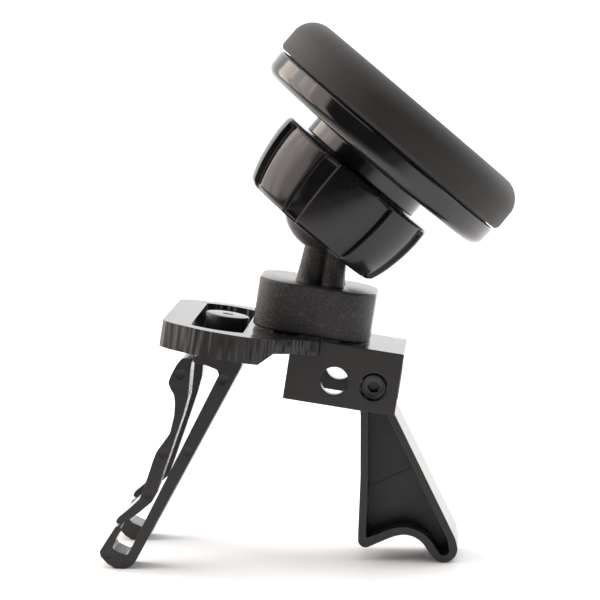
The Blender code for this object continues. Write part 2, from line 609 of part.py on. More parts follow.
def main():
    clearScene()
    rubber = makeMaterial("cap_rubber", (0.035, 0.033, 0.032), 0.6)
    gloss = makeMaterial("gloss_black", (0.012, 0.012, 0.012), 0.18)
    textured = makeMaterial("spark_texture_black", (0.03, 0.03, 0.031), 0.5)
    satin = makeMaterial("satin_black", (0.028, 0.028, 0.03), 0.38)
    moulded = makeMaterial("moulded_black", (0.026, 0.026, 0.029), 0.45)
    nylon = makeMaterial("black_nylon", (0.022, 0.022, 0.022), 0.48)
    natural = makeMaterial("natural_acetal", (0.75, 0.74, 0.7), 0.4)
    tray = makeMaterial("tray_plastic", (0.1, 0.1, 0.105), 0.5)
    blackSteel = makeMaterial("black_oxide_steel", (0.06, 0.06, 0.062), 0.35, 0.9)
    zinc = makeMaterial("zinc_steel", (0.6, 0.6, 0.6), 0.35, 0.95)
    magnet = makeMaterial("nickel_magnet", (0.72, 0.7, 0.66), 0.22, 1.0)
    root = makeFrame("mount_root", None, (0, 0, 0))
    arm = makeFrame("arm_frame", root, ARM_ORIGIN, (0, ARM_TILT_DEG, 0))
    buildArm(arm, satin)
    buildClevis(arm, satin)
    buildBallStud(arm, textured)
    buildBlockScrews(arm, zinc)
    buildPivot(arm, blackSteel, blackSteel)
    buildFrictionWashers(arm, natural)
    leg = makeFrame("leg_pivot", arm, (PIVOT[0], 0, PIVOT[1]), (0, -ARM_TILT_DEG, 0))
    buildLeg(leg, moulded)
    clip = makeFrame("clip_swivel", arm, (HUB_ALONG, 0, 0))
    buildClip(clip, nylon, zinc)
    for name, low, high in (("near", -PRONG_OUTER, -PRONG_INNER), ("far", PRONG_INNER, PRONG_OUTER)):
        place = (LEVER_PIVOT[0] - HUB_ALONG, 0, LEVER_PIVOT[1])
        flex = makeFrame(f"{name}_lever_flex", clip, place)
        buildLever(f"{name}_spring_lever", flex, low, high, nylon)
    ball = makeFrame("ball_centre", arm, (BALL_ALONG, 0, BALL_HEIGHT))
    lean = (-HEAD_BACK_DEG, HEAD_LEAN_DEG - ARM_TILT_DEG, 0)
    head = makeFrame("head_frame", ball, (0, 0, 0), lean, "ZYX")
    buildBallPad(head, natural)
    buildPreloadWasher(head, zinc)
    buildNut(head, gloss)
    buildCollet(head, nylon, zinc)
    buildPuck(head, gloss, rubber, tray, zinc, magnet)
    standOnFloor(root)


main()
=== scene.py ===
import json
import math

import bmesh
import bpy
from mathutils import Matrix, Vector


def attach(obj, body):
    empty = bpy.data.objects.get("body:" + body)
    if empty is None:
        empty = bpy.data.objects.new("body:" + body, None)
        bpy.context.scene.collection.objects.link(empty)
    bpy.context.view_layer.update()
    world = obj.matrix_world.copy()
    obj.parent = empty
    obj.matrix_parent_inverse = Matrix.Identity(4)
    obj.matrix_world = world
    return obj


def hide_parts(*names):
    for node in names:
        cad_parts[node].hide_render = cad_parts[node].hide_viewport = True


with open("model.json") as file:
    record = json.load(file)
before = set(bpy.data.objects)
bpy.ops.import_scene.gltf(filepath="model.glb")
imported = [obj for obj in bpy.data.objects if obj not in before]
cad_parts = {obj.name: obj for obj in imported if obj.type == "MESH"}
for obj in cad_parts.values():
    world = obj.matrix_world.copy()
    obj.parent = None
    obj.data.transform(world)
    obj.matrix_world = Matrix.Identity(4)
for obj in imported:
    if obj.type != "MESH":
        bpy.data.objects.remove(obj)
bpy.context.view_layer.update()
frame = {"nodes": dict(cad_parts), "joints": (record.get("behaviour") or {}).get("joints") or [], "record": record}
print("frame loaded:", len(frame["nodes"]), "nodes")

mm = 0.001
joints = {joint["name"]: joint for joint in frame["joints"]}


# places, all taken from the joints of the frame

def jointPlace(name):
    return Vector(joints[name]["pos_m"])


def jointAxis(name):
    return Vector(joints[name]["axis"]).normalized()


def frameAt(origin, xAxis, zAxis):
    # local millimetres to metres in the row frame
    yAxis = zAxis.cross(xAxis)
    turn = Matrix((xAxis, yAxis, zAxis)).transposed().to_4x4()
    return Matrix.Translation(origin) @ turn @ Matrix.Scale(mm, 4)


hubAlong = -14.2  # the clip's swivel, along the arm from the arm's own origin
sideways = Vector((0, 1, 0))
armUp = jointAxis("clip_swivel")
armAlong = sideways.cross(armUp)
armFrame = frameAt(jointPlace("clip_swivel") - armAlong * hubAlong * mm, armAlong, armUp)
clipFrame = frameAt(jointPlace("clip_swivel"), armAlong, armUp)
leverFrame = frameAt(jointPlace("near_lever_flex"), armAlong, armUp)
legFrame = frameAt(jointPlace("support_leg_pivot"), Vector((1, 0, 0)), Vector((0, 0, 1)))
headFrame = frameAt(jointPlace("head_spin"), jointAxis("head_side_tilt"), jointAxis("head_spin"))


# small mesh tools

def arcPoints(centre, radius, start, end, count):
    points = []
    for i in range(count + 1):
        angle = math.radians(start + (end - start) * i / count)
        points.append((centre[0] + radius * math.cos(angle), centre[1] + radius * math.sin(angle)))
    return points


def roundCorners(corners, detail=5):
    # corners are (x, y) or (x, y, radius); each radius becomes an arc that touches both sides
    points = []
    count = len(corners)
    for i, corner in enumerate(corners):
        radius = corner[2] if len(corner) > 2 else 0
        here = Vector(corner[:2])
        if radius == 0:
            points.append(tuple(here))
            continue
        before = Vector(corners[i - 1][:2]) - here
        after = Vector(corners[(i + 1) % count][:2]) - here
        half = before.angle(after) / 2
        if abs(half - math.pi / 2) < 0.01:
            points.append(tuple(here))
            continue
        reach = min(radius / math.tan(half), 0.48 * before.length, 0.48 * after.length)
        radius = reach * math.tan(half)
        centre = here + (before.normalized() + after.normalized()).normalized() * radius / math.sin(half)
        start = here + before.normalized() * reach - centre
        end = here + after.normalized() * reach - centre
        first = math.atan2(start.y, start.x)
        sweep = (math.atan2(end.y, end.x) - first + math.pi) % (2 * math.pi) - math.pi
        for k in range(detail + 1):
            angle = first + sweep * k / detail
            points.append((centre.x + radius * math.cos(angle), centre.y + radius * math.sin(angle)))
    return points


def smoothLine(points, divisions=6):
    # an open Catmull-Rom curve through the points
    line = []
    ends = [points[0]] + list(points) + [points[-1]]
    for a, b, c, d in zip(ends, ends[1:], ends[2:], ends[3:]):
        for k in range(divisions):
            t = k / divisions
            line.append(tuple(
                0.5 * (2 * b[n] + (c[n] - a[n]) * t + (2 * a[n] - 5 * b[n] + 4 * c[n] - d[n]) * t * t
                       + (3 * b[n] - a[n] - 3 * c[n] + d[n]) * t ** 3) for n in (0, 1)))
    line.append(tuple(points[-1]))
    return line


def lathe(profile, steps=128):
    # turns (radius, height) points about Z; a point on the axis closes the end
    shape = bmesh.new()
    verts = [shape.verts.new((r, 0, z)) for r, z in profile]
    pairs = list(zip(verts, verts[1:]))
    if profile[0][0] > 0:
        pairs.append((verts[-1], verts[0]))
    edges = [shape.edges.new(pair) for pair in pairs]
    bmesh.ops.spin(shape, geom=verts + edges, cent=(0, 0, 0), axis=(0, 0, 1), dvec=(0, 0, 0),
                   angle=2 * math.pi, steps=steps, use_duplicate=False)
    return shape


def prism(outline, low, high, across="y"):
    # pulls an (x, z) outline along Y, or an (x, y) outline along Z
    shape = bmesh.new()
    if across == "y":
        corners = [(x, low, z) for x, z in outline]
        pull = (0, high - low, 0)
    else:
        corners = [(x, y, low) for x, y in outline]
        pull = (0, 0, high - low)
    face = shape.faces.new([shape.verts.new(corner) for corner in corners])
    grown = bmesh.ops.extrude_face_region(shape, geom=[face])
    moved = [item for item in grown["geom"] if isinstance(item, bmesh.types.BMVert)]
    bmesh.ops.translate(shape, verts=moved, vec=pull)
    return shape


def toObject(name, shape, place):
    # closes a bmesh into an object whose points are already in the row frame
    shape.transform(place)
    bmesh.ops.remove_doubles(shape, verts=shape.verts, dist=1e-7)
    bmesh.ops.recalc_face_normals(shape, faces=shape.faces)
    data = bpy.data.meshes.new(name)
    shape.to_mesh(data)
    shape.free()
    data.shade_smooth()
    item = bpy.data.objects.new(name, data)
    bpy.context.scene.collection.objects.link(item)
    return item


def carve(item, steps):
    # steps are (operation, object); the tools are used up
    for operation, tool in steps:
        cut = item.modifiers.new("cut", "BOOLEAN")
        cut.operation = operation
        cut.object = tool
        cut.solver = "EXACT"
    bakeShape(item)
    for _, tool in steps:
        bpy.data.objects.remove(tool)


def bakeShape(item):
    bpy.context.view_layer.update()
    solid = bpy.data.meshes.new_from_object(item.evaluated_get(bpy.context.evaluated_depsgraph_get()))
    item.modifiers.clear()
    item.data = solid
    solid.shade_smooth()


def softenEdges(item, width, segments=3, angle=32):
    # rounds every edge over the angle and keeps the flats flat
    bevel = item.modifiers.new("edges", "BEVEL")
    bevel.width = width * mm
    bevel.segments = segments
    bevel.limit_method = "ANGLE"
    bevel.angle_limit = math.radians(angle)
    bevel.miter_outer = "MITER_ARC"
    bevel.use_clamp_overlap = True
    bakeShape(item)
    weighted = item.modifiers.new("flats", "WEIGHTED_NORMAL")
    weighted.keep_sharp = True
    weighted.weight = 60


def finishPiece(item, material, body, slot, *nodes):
    item.data.materials.clear()
    item.data.materials.append(material)
    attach(item, body)
    if nodes:
        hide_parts(*nodes)
    return item


# shader groups that several finishes share

def newGroup(name, inputs, outputs):
    group = bpy.data.node_groups.new(name, "ShaderNodeTree")
    for label, value in inputs.items():
        socket = group.interface.new_socket(label, in_out="INPUT", socket_type="NodeSocketFloat")
        socket.default_value = value
    for label in outputs:
        group.interface.new_socket(label, in_out="OUTPUT", socket_type="NodeSocketFloat")
    start = group.nodes.new("NodeGroupInput")
    end = group.nodes.new("NodeGroupOutput")
    return group, start, end


def addNode(tree, kind, **values):
    node = tree.nodes.new(kind)
    for label, value in values.items():
        setattr(node, label, value)
    return node


def calculate(tree, operation, first, second=None, third=None, clamp=False):
    node = addNode(tree, "ShaderNodeMath", operation=operation, use_clamp=clamp)
    for socket, value in zip(node.inputs, (first, second, third)):
        if value is None:
            continue
        if isinstance(value, bpy.types.NodeSocket):
            tree.links.new(value, socket)
        else:
            socket.default_value = value
    return node.outputs[0]


def fitRange(tree, value, fromLow, fromHigh, toLow, toHigh, smooth=False):
    node = addNode(tree, "ShaderNodeMapRange", clamp=True)
    if smooth:
        node.interpolation_type = "SMOOTHSTEP"
    tree.links.new(value, node.inputs["Value"])
    for label, number in (("From Min", fromLow), ("From Max", fromHigh), ("To Min", toLow), ("To Max", toHigh)):
        if isinstance(number, bpy.types.NodeSocket):
            tree.links.new(number, node.inputs[label])
        else:
            node.inputs[label].default_value = number
    return node.outputs["Result"]


def noiseAt(tree, scale, detail=2.0, rough=0.5, stretch=None):
    spot = addNode(tree, "ShaderNodeTexCoord").outputs["Object"]
    if stretch:
        mapping = addNode(tree, "ShaderNodeMapping")
        mapping.inputs["Scale"].default_value = stretch
        tree.links.new(spot, mapping.inputs["Vector"])
        spot = mapping.outputs["Vector"]
    noise = addNode(tree, "ShaderNodeTexNoise")
    noise.inputs["Detail"].default_value = detail
    noise.inputs["Roughness"].default_value = rough
    if isinstance(scale, bpy.types.NodeSocket):
        tree.links.new(scale, noise.inputs["Scale"])
    else:
        noise.inputs["Scale"].default_value = scale
    tree.links.new(spot, noise.inputs["Vector"])
    return noise.outputs["Fac"]


def buildGrainGroup():
    # fine moulded skin: Height for bump, Patches for slow changes of gloss and tone
    group, start, end = newGroup("mouldGrain", {"Scale": 3000.0, "Patch Scale": 120.0}, ("Height", "Patches"))
    fine = noiseAt(group, start.outputs["Scale"], 3.0, 0.6)
    double = calculate(group, "MULTIPLY", start.outputs["Scale"], 2.7)
    finer = noiseAt(group, double, 1.0)
    height = calculate(group, "MULTIPLY_ADD", finer, 0.4, fine)
    patches = noiseAt(group, start.outputs["Patch Scale"], 4.0, 0.6)
    group.links.new(height, end.inputs["Height"])
    group.links.new(fitRange(group, patches, 0.3, 0.7, 0.0, 1.0), end.inputs["Patches"])
    return group


def buildSparkGroup():
    # spark-eroded mould skin: rough little hills, and Glints, a mask of painted highlights on the tips of randomly
    # chosen hills
    group, start, end = newGroup("sparkSkin", {"Scale": 2600.0, "Share": 0.7}, ("Height", "Glints"))
    spot = addNode(group, "ShaderNodeTexCoord").outputs["Object"]
    cells = addNode(group, "ShaderNodeTexVoronoi", feature="F1")
    group.links.new(spot, cells.inputs["Vector"])
    group.links.new(start.outputs["Scale"], cells.inputs["Scale"])
    wobble = noiseAt(group, start.outputs["Scale"], 3.0, 0.7)
    height = calculate(group, "MULTIPLY_ADD", cells.outputs["Distance"], -0.6, wobble)
    lot = addNode(group, "ShaderNodeSeparateColor")
    group.links.new(cells.outputs["Color"], lot.inputs[0])
    drawn = calculate(group, "GREATER_THAN", lot.outputs[0], start.outputs["Share"])
    tip = fitRange(group, cells.outputs["Distance"], 0.12, 0.42, 1.0, 0.0)
    group.links.new(height, end.inputs["Height"])
    group.links.new(calculate(group, "MULTIPLY", drawn, tip), end.inputs["Glints"])
    return group


def buildEdgeGroup():
    # how far a point lies on a rounded outer edge, broken up by noise; finishes lighten these edges as rubbed wear
    # and painted highlight
    group, start, end = newGroup("edgeRubAndHighlight", {"Radius": 0.0003, "Strength": 2.0, "Break Up": 900.0}, ("Edge",))
    bevel = addNode(group, "ShaderNodeBevel", samples=6)
    group.links.new(start.outputs["Radius"], bevel.inputs["Radius"])
    normal = addNode(group, "ShaderNodeNewGeometry").outputs["Normal"]
    dot = addNode(group, "ShaderNodeVectorMath", operation="DOT_PRODUCT")
    group.links.new(bevel.outputs["Normal"], dot.inputs[0])
    group.links.new(normal, dot.inputs[1])
    away = calculate(group, "SUBTRACT", 1.0, dot.outputs["Value"])
    strong = calculate(group, "MULTIPLY", away, start.outputs["Strength"])
    broken = fitRange(group, noiseAt(group, start.outputs["Break Up"], 3.0, 0.7), 0.35, 0.65, 0.0, 1.0)
    group.links.new(calculate(group, "MULTIPLY", strong, broken, clamp=True), end.inputs["Edge"])
    return group


def buildHairlineGroup():
    # handling scratches, as thin lines in two directions
    group, start, end = newGroup("hairlines", {"Width": 0.05}, ("Lines",))
    lines = None
    for stretch in ((2400.0, 130.0, 240.0), (160.0, 300.0, 2600.0)):
        wave = noiseAt(group, 1.0, 2.0, 0.5, stretch)
        middle = calculate(group, "ABSOLUTE", calculate(group, "SUBTRACT", wave, 0.5))
        thin = fitRange(group, middle, 0.0, start.outputs["Width"], 1.0, 0.0)
        patch = fitRange(group, noiseAt(group, 90.0, 2.0), 0.55, 0.7, 0.0, 1.0)
        line = calculate(group, "MULTIPLY", thin, patch)
        lines = line if lines is None else calculate(group, "MAXIMUM", lines, line)
    group.links.new(lines, end.inputs["Lines"])
    return group


def buildSpeckGroup():
    # sparse dust specks
    group, start, end = newGroup("dustSpecks", {"Scale": 900.0, "Amount": 0.12}, ("Specks",))
    spot = addNode(group, "ShaderNodeTexCoord").outputs["Object"]
    cells = addNode(group, "ShaderNodeTexVoronoi", feature="F1")
    group.links.new(spot, cells.inputs["Vector"])
    group.links.new(start.outputs["Scale"], cells.inputs["Scale"])
    near = fitRange(group, cells.outputs["Distance"], 0.0, start.outputs["Amount"], 1.0, 0.0)
    chosen = fitRange(group, noiseAt(group, 260.0, 2.0), 0.6, 0.66, 0.0, 1.0)
    group.links.new(calculate(group, "MULTIPLY", near, chosen), end.inputs["Specks"])
    return group


groups = {
    "grain": buildGrainGroup(),
    "spark": buildSparkGroup(),
    "edge": buildEdgeGroup(),
    "hairline": buildHairlineGroup(),
    "speck": buildSpeckGroup(),
}
print("shader groups built:", len(groups))


# finishes

def useGroup(tree, key, **values):
    node = addNode(tree, "ShaderNodeGroup")
    node.node_tree = groups[key]
    for label, value in values.items():
        node.inputs[label.replace("_", " ")].default_value = value
    return node


def startFinish(name, roughness, metallic=0.0, **sockets):
    material = bpy.data.materials.new(name)
    material.use_nodes = True
    tree = material.node_tree
    shader = tree.nodes["Principled BSDF"]
    shader.inputs["Roughness"].default_value = roughness
    shader.inputs["Metallic"].default_value = metallic
    for label, value in sockets.items():
        shader.inputs[label.replace("_", " ")].default_value = value
    return material, tree, shader


def blendColour(tree, factor, dark, light):
    node = addNode(tree, "ShaderNodeMix", data_type="RGBA")
    if isinstance(factor, bpy.types.NodeSocket):
        tree.links.new(factor, node.inputs[0])
    for socket, value in ((node.inputs[6], dark), (node.inputs[7], light)):
        if isinstance(value, bpy.types.NodeSocket):
            tree.links.new(value, socket)
        else:
            socket.default_value = (*value, 1.0)
    return node.outputs[2]


def bumpFrom(tree, shader, height, strength, distance):
    bump = addNode(tree, "ShaderNodeBump")
    bump.inputs["Strength"].default_value = strength
    bump.inputs["Distance"].default_value = distance
    tree.links.new(height, bump.inputs["Height"])
    tree.links.new(bump.outputs["Normal"], shader.inputs["Normal"])


def grazing(tree, start=0.62, end=0.92):
    # 0 where a face looks at the viewer, 1 where it is seen edge-on
    facing = addNode(tree, "ShaderNodeLayerWeight").outputs["Facing"]
    return fitRange(tree, facing, start, end, 0.0, 1.0, True)


def calmAtGrazing(tree, rough, low):
    # a rough skin turns glossier when seen edge-on
    mix = addNode(tree, "ShaderNodeMix", data_type="FLOAT")
    tree.links.new(grazing(tree), mix.inputs[0])
    tree.links.new(rough, mix.inputs[2])
    mix.inputs[3].default_value = low
    return mix.outputs[0]


def moulded(name, look):
    # black moulded plastic: grain, tone patches, lighter edges (rubbed wear and painted highlight), hairlines and
    # specks in its own amounts
    material, tree, shader = startFinish(name, look["rough"], **look.get("sockets", {}))
    grain = useGroup(tree, "grain", Scale=look["grainScale"], Patch_Scale=look["patchScale"])
    colour = blendColour(tree, grain.outputs["Patches"], look["dark"], look["light"])
    edge = useGroup(tree, "edge", Radius=look["edgeRadius"], Strength=look["edgeGain"])
    # lighter colour along rounded edges: partly rubbed wear, partly painted highlight
    colour = blendColour(tree, edge.outputs["Edge"], colour, look["edgeColour"])
    rough = fitRange(tree, grain.outputs["Patches"], 0.0, 1.0, look["rough"] - look["spread"],
                     look["rough"] + look["spread"])
    if look.get("hairlines"):
        lines = useGroup(tree, "hairline", Width=look["hairlines"])
        rough = calculate(tree, "MULTIPLY_ADD", lines.outputs["Lines"], 0.14, rough)
    if look.get("specks"):
        specks = useGroup(tree, "speck", Scale=look["speckScale"], Amount=look["specks"])
        colour = blendColour(tree, specks.outputs["Specks"], colour, look["speckColour"])
    if look.get("grazeRough"):
        rough = calmAtGrazing(tree, rough, look["grazeRough"])
    tree.links.new(colour, shader.inputs["Base Color"])
    tree.links.new(rough, shader.inputs["Roughness"])
    bumpFrom(tree, shader, grain.outputs["Height"], look["bump"], look["bumpDepth"])
    return material


plasticLooks = {
    "capRubber": {
        "dark": (0.028, 0.0265, 0.0255), "light": (0.038, 0.0355, 0.034), "rough": 0.6, "spread": 0.05,
        "grainScale": 5200.0, "patchScale": 140.0, "bump": 0.35, "bumpDepth": 0.00006,
        "edgeRadius": 0.0005, "edgeGain": 1.2, "edgeColour": (0.07, 0.064, 0.058),
        "specks": 0.1, "speckScale": 1500.0, "speckColour": (0.1, 0.095, 0.09),
        "sockets": {"Sheen_Weight": 0.06, "Sheen_Roughness": 0.4, "Specular_IOR_Level": 0.22},
    },
    "glossBlack": {
        "dark": (0.006, 0.006, 0.0062), "light": (0.011, 0.0105, 0.0105), "rough": 0.13, "spread": 0.03,
        "grainScale": 1400.0, "patchScale": 200.0, "bump": 0.05, "bumpDepth": 0.00002,
        "edgeRadius": 0.00035, "edgeGain": 1.4, "edgeColour": (0.05, 0.048, 0.046),
        "hairlines": 0.03,
        "sockets": {"Specular_IOR_Level": 0.6},
    },
    "nutBlack": {
        "dark": (0.006, 0.006, 0.0062), "light": (0.011, 0.0105, 0.0105), "rough": 0.17, "spread": 0.04,
        "grainScale": 1400.0, "patchScale": 200.0, "bump": 0.05, "bumpDepth": 0.00002,
        # the nut's brighter edge colour paints highlight lines along its pad edges
        "edgeRadius": 0.00035, "edgeGain": 1.8, "edgeColour": (0.12, 0.112, 0.104),
        "hairlines": 0.03,
        "sockets": {"Specular_IOR_Level": 0.44},
    },
    "satinBlack": {
        "dark": (0.015, 0.014, 0.0135), "light": (0.021, 0.0195, 0.0185), "rough": 0.43, "spread": 0.05, "grazeRough": 0.12,
        "grainScale": 4200.0, "patchScale": 160.0, "bump": 0.18, "bumpDepth": 0.00005,
        "edgeRadius": 0.0003, "edgeGain": 1.6, "edgeColour": (0.09, 0.085, 0.08),
        "hairlines": 0.022,
        "sockets": {"Specular_IOR_Level": 0.5},
    },
    "mouldedBlack": {
        "dark": (0.016, 0.016, 0.0165), "light": (0.023, 0.0225, 0.023), "rough": 0.42, "spread": 0.05, "grazeRough": 0.14,
        "grainScale": 4600.0, "patchScale": 150.0, "bump": 0.25, "bumpDepth": 0.00005,
        "edgeRadius": 0.0003, "edgeGain": 1.8, "edgeColour": (0.1, 0.096, 0.092),
        "sockets": {"Specular_IOR_Level": 0.5},
    },
    "nylonBlack": {
        "dark": (0.009, 0.009, 0.009), "light": (0.015, 0.0145, 0.014), "rough": 0.4, "spread": 0.08, "grazeRough": 0.12,
        "grainScale": 3400.0, "patchScale": 420.0, "bump": 0.35, "bumpDepth": 0.00006,
        "edgeRadius": 0.00025, "edgeGain": 2.0, "edgeColour": (0.11, 0.105, 0.1),
        "specks": 0.14, "speckScale": 2200.0, "speckColour": (0.09, 0.085, 0.08), "hairlines": 0.02,
        "sockets": {"Specular_IOR_Level": 0.5},
    },
    "trayPlastic": {
        "dark": (0.07, 0.07, 0.075), "light": (0.1, 0.1, 0.105), "rough": 0.5, "spread": 0.05,
        "grainScale": 3000.0, "patchScale": 150.0, "bump": 0.2, "bumpDepth": 0.00005,
        "edgeRadius": 0.0003, "edgeGain": 1.0, "edgeColour": (0.2, 0.2, 0.2),
    },
    "naturalAcetal": {
        "dark": (0.66, 0.65, 0.6), "light": (0.78, 0.77, 0.73), "rough": 0.38, "spread": 0.05,
        "grainScale": 2600.0, "patchScale": 200.0, "bump": 0.15, "bumpDepth": 0.00004,
        "edgeRadius": 0.0002, "edgeGain": 0.8, "edgeColour": (0.85, 0.84, 0.8),
    },
}


sparkLook = {"scale": 3600.0, "share": 0.72, "dark": (0.009, 0.0085, 0.0082), "light": (0.015, 0.014, 0.013),
             "glint": (0.17, 0.16, 0.148), "edge": (0.1, 0.094, 0.086), "rough": 0.44, "glintRough": 0.2,
             "bump": 0.9, "bumpDepth": 0.00016}


def sparkTextured(name, look):
    # the stud's coarse, sparkling skin
    material, tree, shader = startFinish(name, look["rough"], Specular_IOR_Level=0.6)
    spark = useGroup(tree, "spark", Scale=look["scale"], Share=look["share"])
    grain = useGroup(tree, "grain", Scale=1800.0, Patch_Scale=260.0)
    colour = blendColour(tree, grain.outputs["Patches"], look["dark"], look["light"])
    # the glint colour is painted highlight: bright dots mixed into the base colour
    colour = blendColour(tree, spark.outputs["Glints"], colour, look["glint"])
    edge = useGroup(tree, "edge", Radius=0.0004, Strength=1.2)
    # lighter colour along rounded edges: partly rubbed wear, partly painted highlight
    colour = blendColour(tree, edge.outputs["Edge"], colour, look["edge"])
    tree.links.new(colour, shader.inputs["Base Color"])
    rough = fitRange(tree, spark.outputs["Glints"], 0.0, 1.0, look["rough"], look["glintRough"])
    tree.links.new(calmAtGrazing(tree, rough, 0.22), shader.inputs["Roughness"])
    bump = addNode(tree, "ShaderNodeBump")
    tree.links.new(fitRange(tree, grazing(tree, 0.55, 0.85), 0.0, 1.0, look["bump"], 0.08), bump.inputs["Strength"])
    bump.inputs["Distance"].default_value = look["bumpDepth"]
    tree.links.new(spark.outputs["Height"], bump.inputs["Height"])
    tree.links.new(bump.outputs["Normal"], shader.inputs["Normal"])
    return material


def metal(name, look):
    material, tree, shader = startFinish(name, look["rough"], look["metallic"])
    grain = useGroup(tree, "grain", Scale=look["grainScale"], Patch_Scale=300.0)
    colour = blendColour(tree, grain.outputs["Patches"], look["dark"], look["light"])
    edge = useGroup(tree, "edge", Radius=0.00025, Strength=1.6)
    colour = blendColour(tree, edge.outputs["Edge"], colour, look["edge"])
    tree.links.new(colour, shader.inputs["Base Color"])
    rough = fitRange(tree, grain.outputs["Patches"], 0.0, 1.0, look["rough"] - 0.07, look["rough"] + 0.08)
    tree.links.new(rough, shader.inputs["Roughness"])
    bumpFrom(tree, shader, grain.outputs["Height"], 0.15, 0.00004)
    return material


metalLooks = {
    "blackOxide": {"dark": (0.045, 0.045, 0.046), "light": (0.075, 0.073, 0.072), "edge": (0.25, 0.24, 0.23),
                   "rough": 0.36, "metallic": 0.85, "grainScale": 3000.0},
    "zincPlate": {"dark": (0.5, 0.51, 0.52), "light": (0.66, 0.66, 0.65), "edge": (0.8, 0.8, 0.79),
                  "rough": 0.3, "metallic": 1.0, "grainScale": 2200.0},
    "nickelPlate": {"dark": (0.64, 0.62, 0.58), "light": (0.76, 0.74, 0.7), "edge": (0.85, 0.83, 0.8),
                    "rough": 0.2, "metallic": 1.0, "grainScale": 1600.0},
}

finishes = {name: moulded(name, look) for name, look in plasticLooks.items()}
finishes.update({name: metal(name, look) for name, look in metalLooks.items()})
finishes["sparkBlack"] = sparkTextured("sparkBlack", sparkLook)
print("finishes built:", len(finishes))


# head: rubber cap, gloss base and locking nut, all turned about the head's own axis

cap = {"back": 17.5, "front": 26.0, "radius": 27.0, "edgeRadius": 4.9, "inside": 25.2, "roof": 24.2,
       "crown": 0.12, "steps": 192}


def buildCap():
    profile = roundCorners([
        (0.0, cap["roof"]), (23.3, cap["roof"], 0.4), (cap["inside"], 22.4, 0.4), (cap["inside"], cap["back"], 0.15),
        (26.55, cap["back"], 0.35), (cap["radius"], cap["back"] + 0.75, 0.5), (cap["radius"] - 0.05, 20.9)], 4)
    centre = (cap["radius"] - cap["edgeRadius"], cap["front"] - cap["edgeRadius"] + 0.1)
    profile += arcPoints(centre, cap["edgeRadius"], 8, 86, 18)
    # the face is very slightly dished so that light rolls over it
    reach = centre[0]
    profile += [(reach * share, cap["front"] - cap["crown"] * (1 - share ** 2)) for share in (0.9, 0.6, 0.3)]
    profile += [(0.0, cap["front"] - cap["crown"])]
    item = toObject("rubberCap", lathe(profile, cap["steps"]), headFrame)
    return finishPiece(item, finishes["capRubber"], "head", "cap_rubber", "rubber_face_cap")


base = {"back": 12.25, "floor": 13.9, "radius": 26.25, "edgeRadius": 2.3, "seam": 17.2, "neck": 13.0, "neckEnd": 8.9,
        "rimLip": 0.12, "steps": 192}


def buildBase():
    r, back, seam, neck = base["radius"], base["back"], base["seam"], base["neck"]
    profile = roundCorners([
        (11.1, base["neckEnd"], 0.15), (neck, base["neckEnd"], 0.3), (neck, back, 0.6),
        (r - base["edgeRadius"], back), ], 5)
    profile += arcPoints((r - base["edgeRadius"], back + base["edgeRadius"]), base["edgeRadius"], -84, -4, 14)
    profile += roundCorners([
        (r, back + 2.5), (r + 0.08, seam - 0.5, 0.2), (r - 0.2, seam, 0.12), (24.9, seam, 0.15), (24.9, base["floor"], 0.3),
        (13.3, base["floor"]), (13.3, 14.4, 0.2), (1.4, 14.4), (1.4, 13.2), (11.1, 13.2)], 3)
    item = toObject("glossBase", lathe(profile, base["steps"]), headFrame)
    return finishPiece(item, finishes["glossBlack"], "head", "gloss_black", "puck_base")


nut = {"lobes": 8, "turn": -85.2, "padHalf": 15.2, "rampDegrees": 1.8, "depth": 1.1, "bottom": -5.7, "top": 8.6,
       "thread": 12.3}


def nutValley(offset):
    # 0 on a pad, 1 in a valley, with rounded shoulders; offset is degrees from the pad's middle
    lobe = 360 / nut["lobes"]
    away = abs((offset + lobe / 2) % lobe - lobe / 2)
    share = (away - nut["padHalf"]) / nut["rampDegrees"]
    share = min(max(share, 0.0), 1.0)
    return share * share * (3 - 2 * share)


def nutColumns():
    # columns crowd together on the ramps, where the shape turns
    lobe = 360 / nut["lobes"]
    rampStart = nut["padHalf"]
    rampEnd = rampStart + nut["rampDegrees"]
    offsets = [rampStart * i / 9 for i in range(9)]
    offsets += [rampStart - 0.5]
    offsets += [rampStart + nut["rampDegrees"] * i / 9 for i in range(10)]
    offsets += [rampEnd + 0.5]
    offsets += [rampEnd + (lobe / 2 - rampEnd) * i / 4 for i in (1, 2, 3, 4)]
    offsets = sorted(set(offsets))
    half = [-x for x in reversed(offsets[1:-1])] + offsets
    return [nut["turn"] + lobe * i + x for i in range(nut["lobes"]) for x in half]


def buildNut():
    barrel = smoothLine([(14.5, -5.4), (15.2, -4.7), (16.15, -2.0), (16.87, 1.5), (17.22, 4.9), (17.2, 7.3)], 6)
    outer = [(13.9, nut["bottom"], 0.0), (14.2, -5.65, 0.3)]
    outer += [(r, z, min(1.0, 0.55 + (z + 5.4) * 0.5)) for r, z in barrel]
    outer += [(17.18, 7.75, 0.75), (17.13, 7.95, 0.35), (17.07, 8.15, 0.0), (16.95, 8.4, 0.0),
              (16.7, nut["top"], 0.0)]
    inner = [(13.0, nut["top"], 0.0), (nut["thread"], 8.3, 0.0), (nut["thread"], 2.3, 0.0), (10.6, -2.9, 0.0),
             (10.9, -4.2, 0.0), (12.4, nut["bottom"], 0.0)]
    shape = bmesh.new()
    columns = []
    for degrees in nutColumns():
        angle = math.radians(degrees)
        valley = nutValley(degrees - nut["turn"])
        column = []
        for radius, height, share in outer + inner:
            r = radius - nut["depth"] * valley * share
            column.append(shape.verts.new((r * math.cos(angle), r * math.sin(angle), height)))
        columns.append(column)
    for a, b in zip(columns, columns[1:] + columns[:1]):
        for i in range(len(a)):
            j = (i + 1) % len(a)
            shape.faces.new((a[i], b[i], b[j], a[j]))
    item = toObject("lobedNut", shape, headFrame)
    item.data.set_sharp_from_angle(angle=math.radians(50))
    return finishPiece(item, finishes["nutBlack"], "nut", "gloss_black", "locking_nut")


buildCap()
buildBase()
buildNut()
print("head built")


# ball stud: rounded block, ribbed stem and ball, moulded in one

